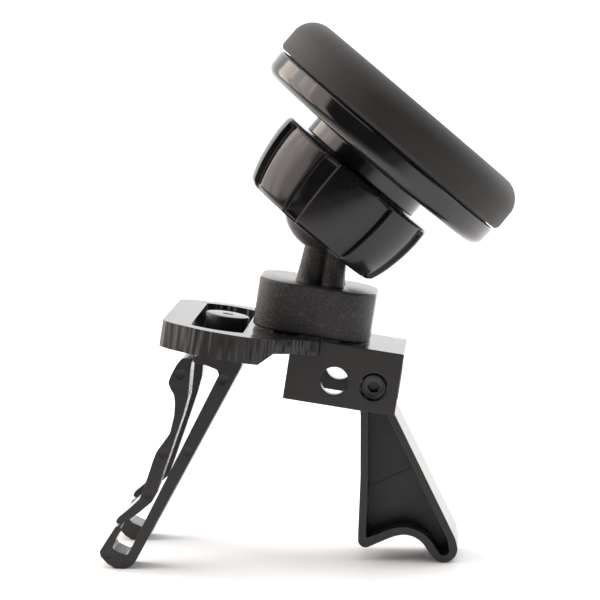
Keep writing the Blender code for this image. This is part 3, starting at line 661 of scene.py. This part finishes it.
stud = {"centre": 2.35, "halfLength": 11.3, "halfWidth": 9.4, "corner": 5.7, "low": 0.35, "high": 9.8,
        "stemAlong": 2.5, "columnOffset": 2.12, "columnRadius": 2.34, "taper": 0.84, "ballAlong": 2.0, "ball": 8.6,
        "ballHeight": 24.15, "lineWidth": 0.11, "lineProud": 0.07}


def blockOutline():
    halfLength, halfWidth = stud["halfLength"], stud["halfWidth"]
    points = []
    for sx, sy, start in ((1, 1, 0), (-1, 1, 90), (-1, -1, 180), (1, -1, 270)):
        corner = (stud["centre"] + sx * (halfLength - stud["corner"]), sy * (halfWidth - stud["corner"]))
        points += arcPoints(corner, stud["corner"], start, start + 90, 14)
    return points


def partingBead(sign):
    # a hair-thin raised line where the two mould halves meet
    y = sign * stud["halfWidth"]
    w = stud["lineWidth"]
    x, proud = stud["stemAlong"] - 0.6, y + sign * stud["lineProud"]
    outline = [(x - w, y - sign * 0.3), (x - w * 0.4, proud), (x + w * 0.4, proud), (x + w, y - sign * 0.3)]
    return toObject("bead", prism(outline, stud["low"] + 0.8, stud["high"] - 0.6, "z"), armFrame)


def stemRing(scale, count=160):
    # four round columns side by side, with a narrow valley between neighbours
    offset, column = stud["columnOffset"] * scale, stud["columnRadius"] * scale
    points = []
    for i in range(count):
        angle = 2 * math.pi * (i + 0.5) / count
        along, across = abs(math.cos(angle)), abs(math.sin(angle))
        reach = offset * (along + across) + math.sqrt(column ** 2 - (offset * (along - across)) ** 2)
        points.append((reach * math.cos(angle), reach * math.sin(angle)))
    return points


def buildStem():
    low, high = stud["high"] - 1.5, stud["ballHeight"] - 5.0
    levels = [(low, 1.1), (stud["high"], 1.08), (stud["high"] + 0.2, 1.05), (stud["high"] + 0.5, 1.03)]
    levels += [(stud["high"] + 0.5 + (high - stud["high"] - 0.5) * i / 8,
                1.03 + (stud["taper"] - 1.03) * i / 8) for i in range(1, 9)]
    shape = bmesh.new()
    rings = []
    for height, scale in levels:
        rings.append([shape.verts.new((stud["stemAlong"] + x, y, height)) for x, y in stemRing(scale)])
    for a, b in zip(rings, rings[1:]):
        for i in range(len(a)):
            j = (i + 1) % len(a)
            shape.faces.new((a[i], a[j], b[j], b[i]))
    shape.faces.new(rings[0])
    shape.faces.new(rings[-1])
    return toObject("stem", shape, armFrame)


def buildStud():
    shape = prism(blockOutline(), stud["low"], stud["high"], "z")
    item = toObject("ribbedStud", shape, armFrame)
    softenEdges(item, 0.5, 4, 40)
    item.modifiers.clear()
    ballProfile = [(0.0, -stud["ball"])] + [(stud["ball"] * math.cos(math.radians(a)),
                                             stud["ball"] * math.sin(math.radians(a)))
                                            for a in range(-87, 90, 3)] + [(0.0, stud["ball"])]
    ballPlace = armFrame @ Matrix.Translation((stud["ballAlong"], 0, stud["ballHeight"]))
    carve(item, [("UNION", buildStem()), ("UNION", toObject("ball", lathe(ballProfile, 96), ballPlace)),
                 ("UNION", partingBead(-1)), ("UNION", partingBead(1))])
    item.data.set_sharp_from_angle(angle=math.radians(40))
    return finishPiece(item, finishes["sparkBlack"], "base", "spark_texture_black", "ball_stud")


buildStud()
print("stud built")


# arm: hooded plate with its window, and the clevis block under its right end

hood = {"left": -25.1, "halfWidth": 20.8, "thickness": 4.95, "plate": 2.65, "end": 4.5, "tongueEnd": 12.5,
        "tongueHalf": 6.0, "tongueThick": 1.3, "edge": 0.22}
window = {"centre": -14.7, "halfLength": 5.0, "halfWidth": 16.0, "crown": 1.4, "floor": 4.1}
reliefStart, reliefEnd = -5.9, -3.4
screwPlaces = (-4.0, 9.0)


def hoodOutline():
    edge = smoothLine([(-23.4, 17.45), (-19.9, 19.2), (-16.6, 20.4), (-13.0, 20.8), (-9.6, 20.75),
                       (-6.6, 20.1), (-4.0, 18.8), (-2.2, 17.15), (-0.6, 15.3), (1.2, 13.7), (3.0, 12.7),
                       (hood["end"], 12.2)], 14)
    half = arcPoints((hood["left"] + 3.3, 14.4), 3.3, 180, 116, 24) + edge
    return half + [(x, -y) for x, y in reversed(half)]


def windowOutline():
    edge = []
    for i in range(33):
        x = window["halfLength"] * (i / 16 - 1)
        edge.append((window["centre"] + x, window["halfWidth"]
                     + window["crown"] * (1 - (x / window["halfLength"]) ** 2)))
    return edge + [(x, -y) for x, y in reversed(edge)]


def disc(name, radius, low, high, along, place, steps=48):
    shape = lathe([(0.0, low), (radius, low), (radius, high), (0.0, high)], steps)
    bmesh.ops.translate(shape, verts=shape.verts, vec=(along, 0, 0))
    return toObject(name, shape, place)


def buildHoodPlate():
    item = toObject("hoodPlate", prism(hoodOutline(), -hood["thickness"], 0.0, "z"), armFrame)
    beyond = 30.0
    relief = [(reliefStart, -hood["thickness"] - 1), (reliefStart, -hood["thickness"]),
              (reliefEnd, -hood["plate"]), (beyond, -hood["plate"]), (beyond, -hood["thickness"] - 1)]
    tongue = roundCorners([(hood["end"] - 2, -hood["tongueHalf"]), (hood["tongueEnd"], -hood["tongueHalf"], 1.0),
                           (hood["tongueEnd"], hood["tongueHalf"], 1.0), (hood["end"] - 2, hood["tongueHalf"])])
    steps = [
        ("DIFFERENCE", toObject("relief", prism(relief, -beyond, beyond), armFrame)),
        ("UNION", toObject("tongue", prism(tongue, -hood["tongueThick"], 0.0, "z"), armFrame)),
        ("DIFFERENCE", toObject("window", prism(windowOutline(), -window["floor"], 1.0, "z"), armFrame)),
        ("DIFFERENCE", disc("bore", 3.3, -8.0, 0.0, hubAlong, armFrame)),
    ]
    for along in screwPlaces:
        steps.append(("DIFFERENCE", disc("hole", 1.5, -8.0, 1.0, along, armFrame)))
    steps.append(("DIFFERENCE", disc("sink", 2.8, -8.0, -hood["plate"], screwPlaces[0], armFrame)))
    carve(item, steps)
    softenEdges(item, hood["edge"], 3, 35)
    return finishPiece(item, finishes["satinBlack"], "base", "satin_black", "arm_plate")


clevis = {"left": -0.8, "right": 20.64, "depth": 11.92, "halfWidth": 10.8, "wall": 2.4, "roof": 3.4,
          "slotLeft": 1.4, "pivot": (15.9, -7.02), "spare": (8.35, -7.05), "holeRadius": 2.65, "gap": 0.12,
          "edge": 0.2}


def sideBore(name, radius, spot, low, high, place, steps=48):
    # a round tool along Y through (x, z)
    shape = lathe([(0.0, low), (radius, low), (radius, high), (0.0, high)], steps)
    shape.transform(Matrix.Rotation(math.radians(-90), 4, "X"))
    bmesh.ops.translate(shape, verts=shape.verts, vec=(spot[0], 0, spot[1]))
    return toObject(name, shape, place)


def buildClevisBody():
    half, gap = clevis["halfWidth"], clevis["gap"]
    outline = [(clevis["left"], -clevis["depth"]), (clevis["right"], -clevis["depth"]), (clevis["right"], 0.0),
               (hood["end"] + gap, 0.0), (hood["end"] + gap, -hood["plate"] - gap),
               (clevis["left"], -hood["plate"] - gap)]
    item = toObject("clevisBody", prism(outline, -half, half), armFrame)
    inner = half - clevis["wall"]
    slot = [(clevis["slotLeft"], -clevis["depth"] - 1), (clevis["right"] + 1, -clevis["depth"] - 1),
            (clevis["right"] + 1, -clevis["roof"]), (clevis["slotLeft"], -clevis["roof"])]
    pocketHalf = hood["tongueHalf"] + 0.3
    pocket = [(hood["end"] - 1, -pocketHalf), (hood["tongueEnd"] + 0.3, -pocketHalf),
              (hood["tongueEnd"] + 0.3, pocketHalf), (hood["end"] - 1, pocketHalf)]
    carve(item, [
        ("DIFFERENCE", toObject("slot", prism(slot, -inner, inner), armFrame)),
        ("DIFFERENCE", toObject("pocket", prism(pocket, -hood["tongueThick"] - 0.3, 1.0, "z"), armFrame)),
        ("DIFFERENCE", sideBore("pivotBore", clevis["holeRadius"], clevis["pivot"], -half - 1, half + 1, armFrame)),
        ("DIFFERENCE", sideBore("spareBore", clevis["holeRadius"], clevis["spare"], -half - 1, half + 1, armFrame)),
        ("DIFFERENCE", disc("hole", 1.5, -clevis["depth"], 1.0, screwPlaces[1], armFrame)),
    ])
    softenEdges(item, clevis["edge"], 3, 35)
    return finishPiece(item, finishes["satinBlack"], "base", "satin_black", "clevis_block")


buildHoodPlate()
buildClevisBody()
print("arm built")


# pivot hardware

pivot = {"radius": 2.45, "socket": 1.12, "face": 10.8, "chamfer": 0.42, "socketDeep": 2.0, "shank": 1.5}


def buildPivotScrew():
    face = pivot["face"]
    split = face - clevis["wall"] - 0.1
    profile = roundCorners([
        (0.0, -face + 0.35), (1.75, -face + 0.3, 0.1), (1.95, -face + 0.02, 0.12),
        (pivot["radius"] - pivot["chamfer"], -face, 0.1), (pivot["radius"], -face + pivot["chamfer"], 0.12),
        (pivot["radius"], -split), (pivot["shank"], -split), (pivot["shank"], face - 4.0), (0.0, face - 3.5)], 4)
    shape = lathe(profile, 64)
    shape.transform(Matrix.Rotation(math.radians(-90), 4, "X"))
    bmesh.ops.translate(shape, verts=shape.verts, vec=(clevis["pivot"][0], 0, clevis["pivot"][1]))
    item = toObject("pivotScrewHead", shape, armFrame)
    corners = [(clevis["pivot"][0] + pivot["socket"] * math.cos(math.radians(60 * i + 12)) * 1.1,
                clevis["pivot"][1] + pivot["socket"] * math.sin(math.radians(60 * i + 12)) * 1.1) for i in range(6)]
    hexTool = toObject("hex", prism(corners, -face - 1, -face + pivot["socketDeep"]), armFrame)
    carve(item, [("DIFFERENCE", hexTool)])
    item.data.set_sharp_from_angle(angle=math.radians(40))
    return finishPiece(item, finishes["blackOxide"], "base", "black_oxide_steel", "pivot_screw")


def buildSleeveNut():
    face = pivot["face"]
    split = face - clevis["wall"] - 0.1
    bore = pivot["shank"] + 0.3
    profile = roundCorners([
        (0.0, face - 2.8), (bore, face - 3.2), (bore, -split + 0.3), (pivot["radius"], -split + 0.3, 0.1),
        (pivot["radius"], face - pivot["chamfer"], 0.12), (pivot["radius"] - pivot["chamfer"], face, 0.1),
        (1.95, face - 0.02, 0.12), (1.75, face - 0.3, 0.1), (0.0, face - 0.35)], 4)
    shape = lathe(profile, 64)
    shape.transform(Matrix.Rotation(math.radians(-90), 4, "X"))
    bmesh.ops.translate(shape, verts=shape.verts, vec=(clevis["pivot"][0], 0, clevis["pivot"][1]))
    item = toObject("sleeveNut", shape, armFrame)
    slotTool = toObject("slot", prism([(clevis["pivot"][0] - 3, clevis["pivot"][1] - 0.35),
                                       (clevis["pivot"][0] + 3, clevis["pivot"][1] - 0.35),
                                       (clevis["pivot"][0] + 3, clevis["pivot"][1] + 0.35),
                                       (clevis["pivot"][0] - 3, clevis["pivot"][1] + 0.35)],
                                      face - 0.9, face + 1), armFrame)
    carve(item, [("DIFFERENCE", slotTool)])
    item.data.set_sharp_from_angle(angle=math.radians(40))
    return finishPiece(item, finishes["blackOxide"], "base", "black_oxide_steel", "pivot_sleeve")


def crossScrew(name, headRadius, shankRadius, under, headHeight, tip, place, along):
    # pan head facing down with a cross recess, shank up
    low = under - headHeight
    profile = roundCorners([
        (0.0, low), (headRadius * 0.8, low + 0.05, 0.3), (headRadius, low + 0.45, 0.3), (headRadius, under, 0.08),
        (shankRadius, under), (shankRadius, tip - 0.6, 0.1), (0.0, tip)], 4)
    shape = lathe(profile, 48)
    bmesh.ops.translate(shape, verts=shape.verts, vec=(along, 0, 0))
    item = toObject(name, shape, place)
    arm = headRadius * 0.55
    wide = headRadius * 0.13
    tools = []
    for a, b in ((arm, wide), (wide, arm)):
        outline = [(along - a, -b), (along + a, -b), (along + a, b), (along - a, b)]
        tools.append(("DIFFERENCE", toObject("cross", prism(outline, low - 1, low + headHeight * 0.6, "z"), place)))
    carve(item, tools)
    item.data.set_sharp_from_angle(angle=math.radians(35))
    return item


def buildScrews():
    unders = (-hood["plate"] - 0.3, -clevis["roof"] - 0.3)
    for i, along in enumerate(screwPlaces):
        item = crossScrew(f"blockScrew{i + 1}", 2.5, 1.2, unders[i], 1.5, 6.0, armFrame, along)
        finishPiece(item, finishes["zincPlate"], "base", "zinc_steel", f"block_screw_{i + 1}")
    item = crossScrew("hubScrew", 2.2, 1.0, -8.2, 1.2, -1.5, clipFrame, 0.0)
    finishPiece(item, finishes["zincPlate"], "clip", "zinc_steel", "hub_screw")


buildPivotScrew()
buildSleeveNut()
buildScrews()
print("screws built")


# folding leg: hollow wedge with a mid web and a cupped foot

leg = {"half": 7.2, "web": 0.7, "knuckle": 3.2, "bore": 2.75, "hollowTop": -4.6, "edge": 0.2, "ribProud": 0.1, "ribWidth": 0.13}


def legOutline():
    points = arcPoints((0, 0), leg["knuckle"], -35, 180, 24)
    points += roundCorners([(-2.9, -3.0), (-2.62, -6.0), (-2.62, -18.0), (-3.03, -29.0), ])
    points += arcPoints((-1.6, -30.2), 1.45, 186, 285, 10)
    points += smoothLine([(-0.2, -31.15), (1.6, -30.35), (3.9, -29.4), (5.6, -29.07)], 5)
    points += arcPoints((5.6, -34.2), 5.13, 86, 38, 10)
    points += smoothLine([(10.25, -32.0), (10.75, -32.7)], 2)
    points += arcPoints((13.35, -31.7), 2.65, 206, 366, 18)
    points += [(15.53, -29.6), (3.98, -5.92)]
    return points


def legHollow():
    floor = [(-1.17, leg["hollowTop"]), (-1.17, -18.0), (-1.55, -29.5)]
    floor += smoothLine([(-1.35, -29.75), (0.6, -29.05), (3.2, -28.0), (5.0, -27.63)], 4)
    floor += arcPoints((5.6, -34.2), 6.6, 88, 36, 10)
    floor += arcPoints((13.35, -32.0), 1.05, 196, 350, 8)
    floor += [(14.1, -29.9), (1.74, leg["hollowTop"])]
    return floor


def buildLeg():
    half, web = leg["half"], leg["web"]
    item = toObject("foldingLeg", prism(legOutline(), -half, half), legFrame)
    steps = [
        ("DIFFERENCE", toObject("hollowNear", prism(legHollow(), -half - 1, -web), legFrame)),
        ("DIFFERENCE", toObject("hollowFar", prism(legHollow(), web, half + 1), legFrame)),
        ("DIFFERENCE", sideBore("legBore", leg["bore"], (0, 0), -half - 1, half + 1, legFrame)),
    ]
    # the web's mould joint, a fine line that rises to the right on both faces
    start, end = Vector((-1.5, -21.2)), Vector((7.2, -17.1))
    side = (end - start).orthogonal().normalized() * leg["ribWidth"]
    strip = [tuple(start - side), tuple(end - side), tuple(end + side), tuple(start + side)]
    steps.append(("UNION", toObject("joint", prism(strip, -web - leg["ribProud"], web + leg["ribProud"]), legFrame)))
    carve(item, steps)
    softenEdges(item, leg["edge"], 3, 35)
    return finishPiece(item, finishes["mouldedBlack"], "leg", "moulded_black", "support_leg")


buildLeg()
print("leg built")


# vent clip: two hooked prongs on a bridge, a sprung lever beside each, and the hub they turn on

clip = {"outer": 16.5, "inner": 9.5, "bridgeTop": -5.6, "bridgeBottom": -7.9, "edge": 0.22, "markRadius": 0.95,
        "markDeep": 0.09}


def prongOutline():
    corners = [(-18.1, -5.6, 0.5), (-8.9, -5.6, 0.3), (-9.1, -6.4, 0.2), (-23.3, -46.2, 1.6), (-24.2, -47.6, 0.8),
               (-25.6, -48.2, 0.9), (-27.1, -48.36, 0.6), (-28.6, -47.7, 0.5), (-30.1, -46.5, 0.6),
               (-30.4, -45.6, 0.6), (-28.15, -40.45, 0.3), (-27.6, -40.15, 0.3), (-26.95, -40.45, 0.3),
               (-28.1, -44.3, 0.4), (-27.7, -44.85, 0.3), (-25.5, -45.45, 0.3), (-24.95, -45.2, 0.3),
               (-13.0, -8.5, 0.5), (-13.5, -7.6, 0.4), (-15.6, -7.1, 0.3), (-18.1, -6.95, 0.3)]
    return roundCorners([(x - hubAlong, z, r) for x, z, r in corners], 4)


def leverOutline():
    corners = [(-18.4, -6.4), (-19.4, -6.2), (-20.4, -6.6), (-21.2, -8.0), (-21.9, -10.0), (-22.25, -11.5),
               (-21.6, -12.6), (-20.8, -13.6), (-20.4, -15.1), (-20.2, -17.5), (-20.5, -21.0),
               (-21.5, -23.0), (-22.5, -24.9), (-22.9, -26.7), (-23.85, -32.3), (-24.4, -34.4),
               (-26.2, -36.7), (-27.9, -38.6), (-28.2, -39.4), (-27.8, -39.8), (-26.9, -39.6),
               (-25.8, -38.7), (-24.0, -36.9), (-22.0, -34.6), (-21.65, -33.8), (-20.95, -30.3),
               (-19.95, -25.0), (-18.5, -17.0), (-18.1, -13.6), (-18.4, -8.4)]
    pivotX, pivotZ = -18.7, -7.0
    return roundCorners([(x - pivotX, z - pivotZ, 1.2) for x, z in corners], 4)


def ejectorMark(spot, face, place):
    # a shallow round dimple left by an ejector pin; face is the Y of the surface it sits in
    toward = -1 if face < 0 else 1
    low, high = sorted((face - toward * clip["markDeep"], face + toward))
    return ("DIFFERENCE", sideBore("mark", clip["markRadius"], spot, low, high, place, 32))


def buildProngs():
    near, far = (-clip["outer"], -clip["inner"]), (clip["inner"], clip["outer"])
    item = toObject("twinProng", prism(prongOutline(), *near), clipFrame)
    left, right = -18.1 - hubAlong, -10.2 - hubAlong
    reach = clip["inner"] + 1
    bridge = [(left, -reach), (right, -reach), (right, reach), (left, reach)]
    steps = [
        ("UNION", toObject("farProng", prism(prongOutline(), *far), clipFrame)),
        ("UNION", toObject("bridge", prism(bridge, clip["bridgeBottom"], clip["bridgeTop"], "z"), clipFrame)),
        ("DIFFERENCE", disc("hole", 1.3, clip["bridgeBottom"] - 1, clip["bridgeTop"] + 1, 0.0, clipFrame)),
    ]
    for x, z in ((-12.0, -9.3), (-16.75, -23.9), (-28.7, -45.9)):
        for face in (-clip["outer"], clip["outer"]):
            steps.append(ejectorMark((x - hubAlong, z), face, clipFrame))
    carve(item, steps)
    softenEdges(item, clip["edge"], 3, 35)
    return finishPiece(item, finishes["nylonBlack"], "clip", "black_nylon", "clip_frame")


def buildLever(name, body, low, high, node):
    item = toObject(name, prism(leverOutline(), low, high), leverFrame)
    face = low if low < 0 else high
    carve(item, [ejectorMark((-21.1 + 18.7, -24.9 + 7.0), face, leverFrame),
                 ejectorMark((-20.1 + 18.7, -9.6 + 7.0), face, leverFrame),
                 ejectorMark((-22.8 + 18.7, -33.2 + 7.0), face, leverFrame)])
    softenEdges(item, clip["edge"], 3, 35)
    return finishPiece(item, finishes["nylonBlack"], body, "black_nylon", node)


hub = {"head": 4.2, "neck": 3.0, "proud": 0.8, "neckEnd": -3.8, "bottom": -5.3}


def buildHub():
    profile = roundCorners([
        (0.0, hub["proud"] - 1.7), (1.3, hub["proud"] - 2.0), (1.3, hub["bottom"]), (hub["neck"], hub["bottom"]),
        (hub["neck"], hub["neckEnd"]), (hub["head"], hub["neckEnd"], 0.15), (hub["head"], hub["proud"], 0.28),
        (1.2, hub["proud"], 0.1), (1.0, hub["proud"] - 0.12, 0.08), (0.0, hub["proud"] - 0.12)], 5)
    item = toObject("swivelHub", lathe(profile, 96), clipFrame)
    item.data.set_sharp_from_angle(angle=math.radians(50))
    return finishPiece(item, finishes["nylonBlack"], "clip", "black_nylon", "clip_hub")


buildProngs()
buildLever("nearLever", "near_lever", -clip["outer"], -clip["inner"], "near_spring_lever")
buildLever("farLever", "far_lever", clip["inner"], clip["outer"], "far_spring_lever")
buildHub()
print("clip built")


# pieces that stay as packed get their finish by slot

slotFinish = {
    "zinc_steel": "zincPlate", "nickel_magnet": "nickelPlate", "natural_acetal": "naturalAcetal",
    "tray_plastic": "trayPlastic", "black_nylon": "nylonBlack", "black_oxide_steel": "blackOxide",
}
slotOf = {entry["node"]: entry["material_slot"] for entry in frame["record"]["subparts"]}
kept = 0
for name, node in frame["nodes"].items():
    if node.hide_render:
        continue
    finish = finishes[slotFinish[slotOf[name]]]
    for place in node.material_slots:
        place.material = finish
    kept += 1
print("packed pieces refinished:", kept)


# studio: pale floor, a white room behind, a dark one in front and tall soft panels on the left

studio = {
    "floorHalf": 1.4, "floorColour": (0.93, 0.93, 0.93), "floorShadeStart": -0.05, "floorShadeEnd": -0.3,
    "floorShadeInReflections": 0.16, "glowStrength": 1.3, "glowAngle": 75, "roomBackLeft": 0.9, "roomBackRight": 2.3,
    "roomFront": 0.02,
    "seenWhite": 1.3,
}
# each panel: azimuth span, radiance and colour; heights are shared
panelLow, panelHigh, panelAway = 3.0, 50.0, 0.8
panels = {
    "panelA": {"span": (-137, -113), "level": 3.7, "colour": (1.0, 0.86, 0.75)},
    "panelB": {"span": (-113, -94), "level": 2.5, "colour": (1.0, 0.88, 0.82)},
    "panelC": {"span": (-94, -76), "level": 3.2, "colour": (1.0, 0.86, 0.82)},
    "panelD": {"span": (-76, -52), "level": 2.6, "colour": (1.0, 0.87, 0.82)},
}


def buildFloor():
    half = studio["floorHalf"]
    shape = bmesh.new()
    bmesh.ops.create_grid(shape, x_segments=1, y_segments=1, size=half)
    item = toObject("paleFloor", shape, Matrix.Identity(4))
    if item.data.polygons[0].normal.z < 0:
        item.data.flip_normals()
    material, tree, shader = startFinish("palePaper", 0.7, Specular_IOR_Level=0.2)
    white = studio["floorColour"]
    patches = fitRange(tree, noiseAt(tree, 3.0, 3.0), 0.3, 0.7, 0.0, 1.0)
    paper = blendColour(tree, patches, white, tuple(c - 0.01 for c in white))
    # reflections see the sheet darkened towards the front and left, the dark side of the room: painted shade
    # standing in for light falling off there
    split = addNode(tree, "ShaderNodeSeparateXYZ")
    tree.links.new(addNode(tree, "ShaderNodeTexCoord").outputs["Object"], split.inputs[0])
    sideShare = calculate(tree, "MULTIPLY", split.outputs["X"], 0.6)
    along = calculate(tree, "MULTIPLY_ADD", split.outputs["Y"], 0.8, sideShare)
    nearness = fitRange(tree, along, studio["floorShadeEnd"], studio["floorShadeStart"], 0.0, 1.0, True)
    shadedForReflections = blendColour(tree, nearness, (studio["floorShadeInReflections"],) * 3, paper)
    seen = addNode(tree, "ShaderNodeLightPath").outputs["Is Camera Ray"]
    tree.links.new(blendColour(tree, seen, shadedForReflections, paper), shader.inputs["Base Color"])
    item.data.materials.append(material)


def buildSurroundings():
    world = bpy.data.worlds.new("studioRoom")
    bpy.context.scene.world = world
    world.use_nodes = True
    tree = world.node_tree
    tree.nodes.clear()
    out = addNode(tree, "ShaderNodeOutputWorld")
    split = addNode(tree, "ShaderNodeSeparateXYZ")
    tree.links.new(addNode(tree, "ShaderNodeTexCoord").outputs["Generated"], split.inputs[0])
    back = fitRange(tree, split.outputs["X"], -0.7, 0.7, studio["roomBackLeft"], studio["roomBackRight"])
    share = fitRange(tree, split.outputs["Y"], -0.35, 0.05, studio["roomFront"], 1.0, True)
    level = calculate(tree, "MULTIPLY", back, share)
    seen = addNode(tree, "ShaderNodeBackground")
    seen.inputs["Strength"].default_value = studio["seenWhite"]
    seen.inputs["Color"].default_value = (1, 1, 1, 1)
    room = addNode(tree, "ShaderNodeBackground")
    tree.links.new(level, room.inputs["Strength"])
    room.inputs["Color"].default_value = (1, 1, 1, 1)
    mix = addNode(tree, "ShaderNodeMixShader")
    tree.links.new(addNode(tree, "ShaderNodeLightPath").outputs["Is Camera Ray"], mix.inputs[0])
    tree.links.new(room.outputs[0], mix.inputs[1])
    tree.links.new(seen.outputs[0], mix.inputs[2])
    tree.links.new(mix.outputs[0], out.inputs["Surface"])


def buildLights():
    glow = bpy.data.lights.new("ceilingGlow", "SUN")
    glow.energy = studio["glowStrength"]
    glow.angle = math.radians(studio["glowAngle"])
    lamp = bpy.data.objects.new("ceilingGlow", glow)
    lamp.rotation_euler = (math.radians(8), math.radians(-6), 0)
    bpy.context.scene.collection.objects.link(lamp)
    middle = math.radians((panelLow + panelHigh) / 2)
    tall = panelAway * math.radians(panelHigh - panelLow)
    aim = Vector((0, 0, 0.05))
    for name, panel in panels.items():
        start, end = (math.radians(a) for a in panel["span"])
        turn = (start + end) / 2
        wide = panelAway * math.cos(middle) * (end - start)
        light = bpy.data.lights.new(name, "AREA")
        light.shape = "RECTANGLE"
        light.size, light.size_y = wide, tall
        light.energy = panel["level"] * math.pi * wide * tall
        light.color = panel["colour"]
        lamp = bpy.data.objects.new(name, light)
        toward = Vector((math.sin(turn) * math.cos(middle), -math.cos(turn) * math.cos(middle), math.sin(middle)))
        lamp.location = aim + toward * panelAway
        lamp.rotation_euler = (-toward).to_track_quat("-Z", "Y").to_euler()
        bpy.context.scene.collection.objects.link(lamp)


view = {"azimuth": 3.84, "elevation": 7.15, "distance": 0.53846, "lens": 168.0, "sensor": 36.0,
        "target": (-0.002018, -0.001196, 0.049553)}


def buildCamera():
    azimuth, elevation = math.radians(view["azimuth"]), math.radians(view["elevation"])
    away = Vector((math.sin(azimuth) * math.cos(elevation), -math.cos(azimuth) * math.cos(elevation),
                   math.sin(elevation)))
    data = bpy.data.cameras.new("productView")
    data.lens = view["lens"]
    data.sensor_width = view["sensor"]
    data.clip_start = 0.01
    data.clip_end = 100.0
    camera = bpy.data.objects.new("productView", data)
    camera.location = Vector(view["target"]) + away * view["distance"]
    camera.rotation_euler = (-away).to_track_quat("-Z", "Y").to_euler()
    bpy.context.scene.collection.objects.link(camera)
    bpy.context.scene.camera = camera


buildFloor()
buildSurroundings()
buildLights()
buildCamera()
bpy.context.scene.view_settings.view_transform = "Standard"
print("studio built")
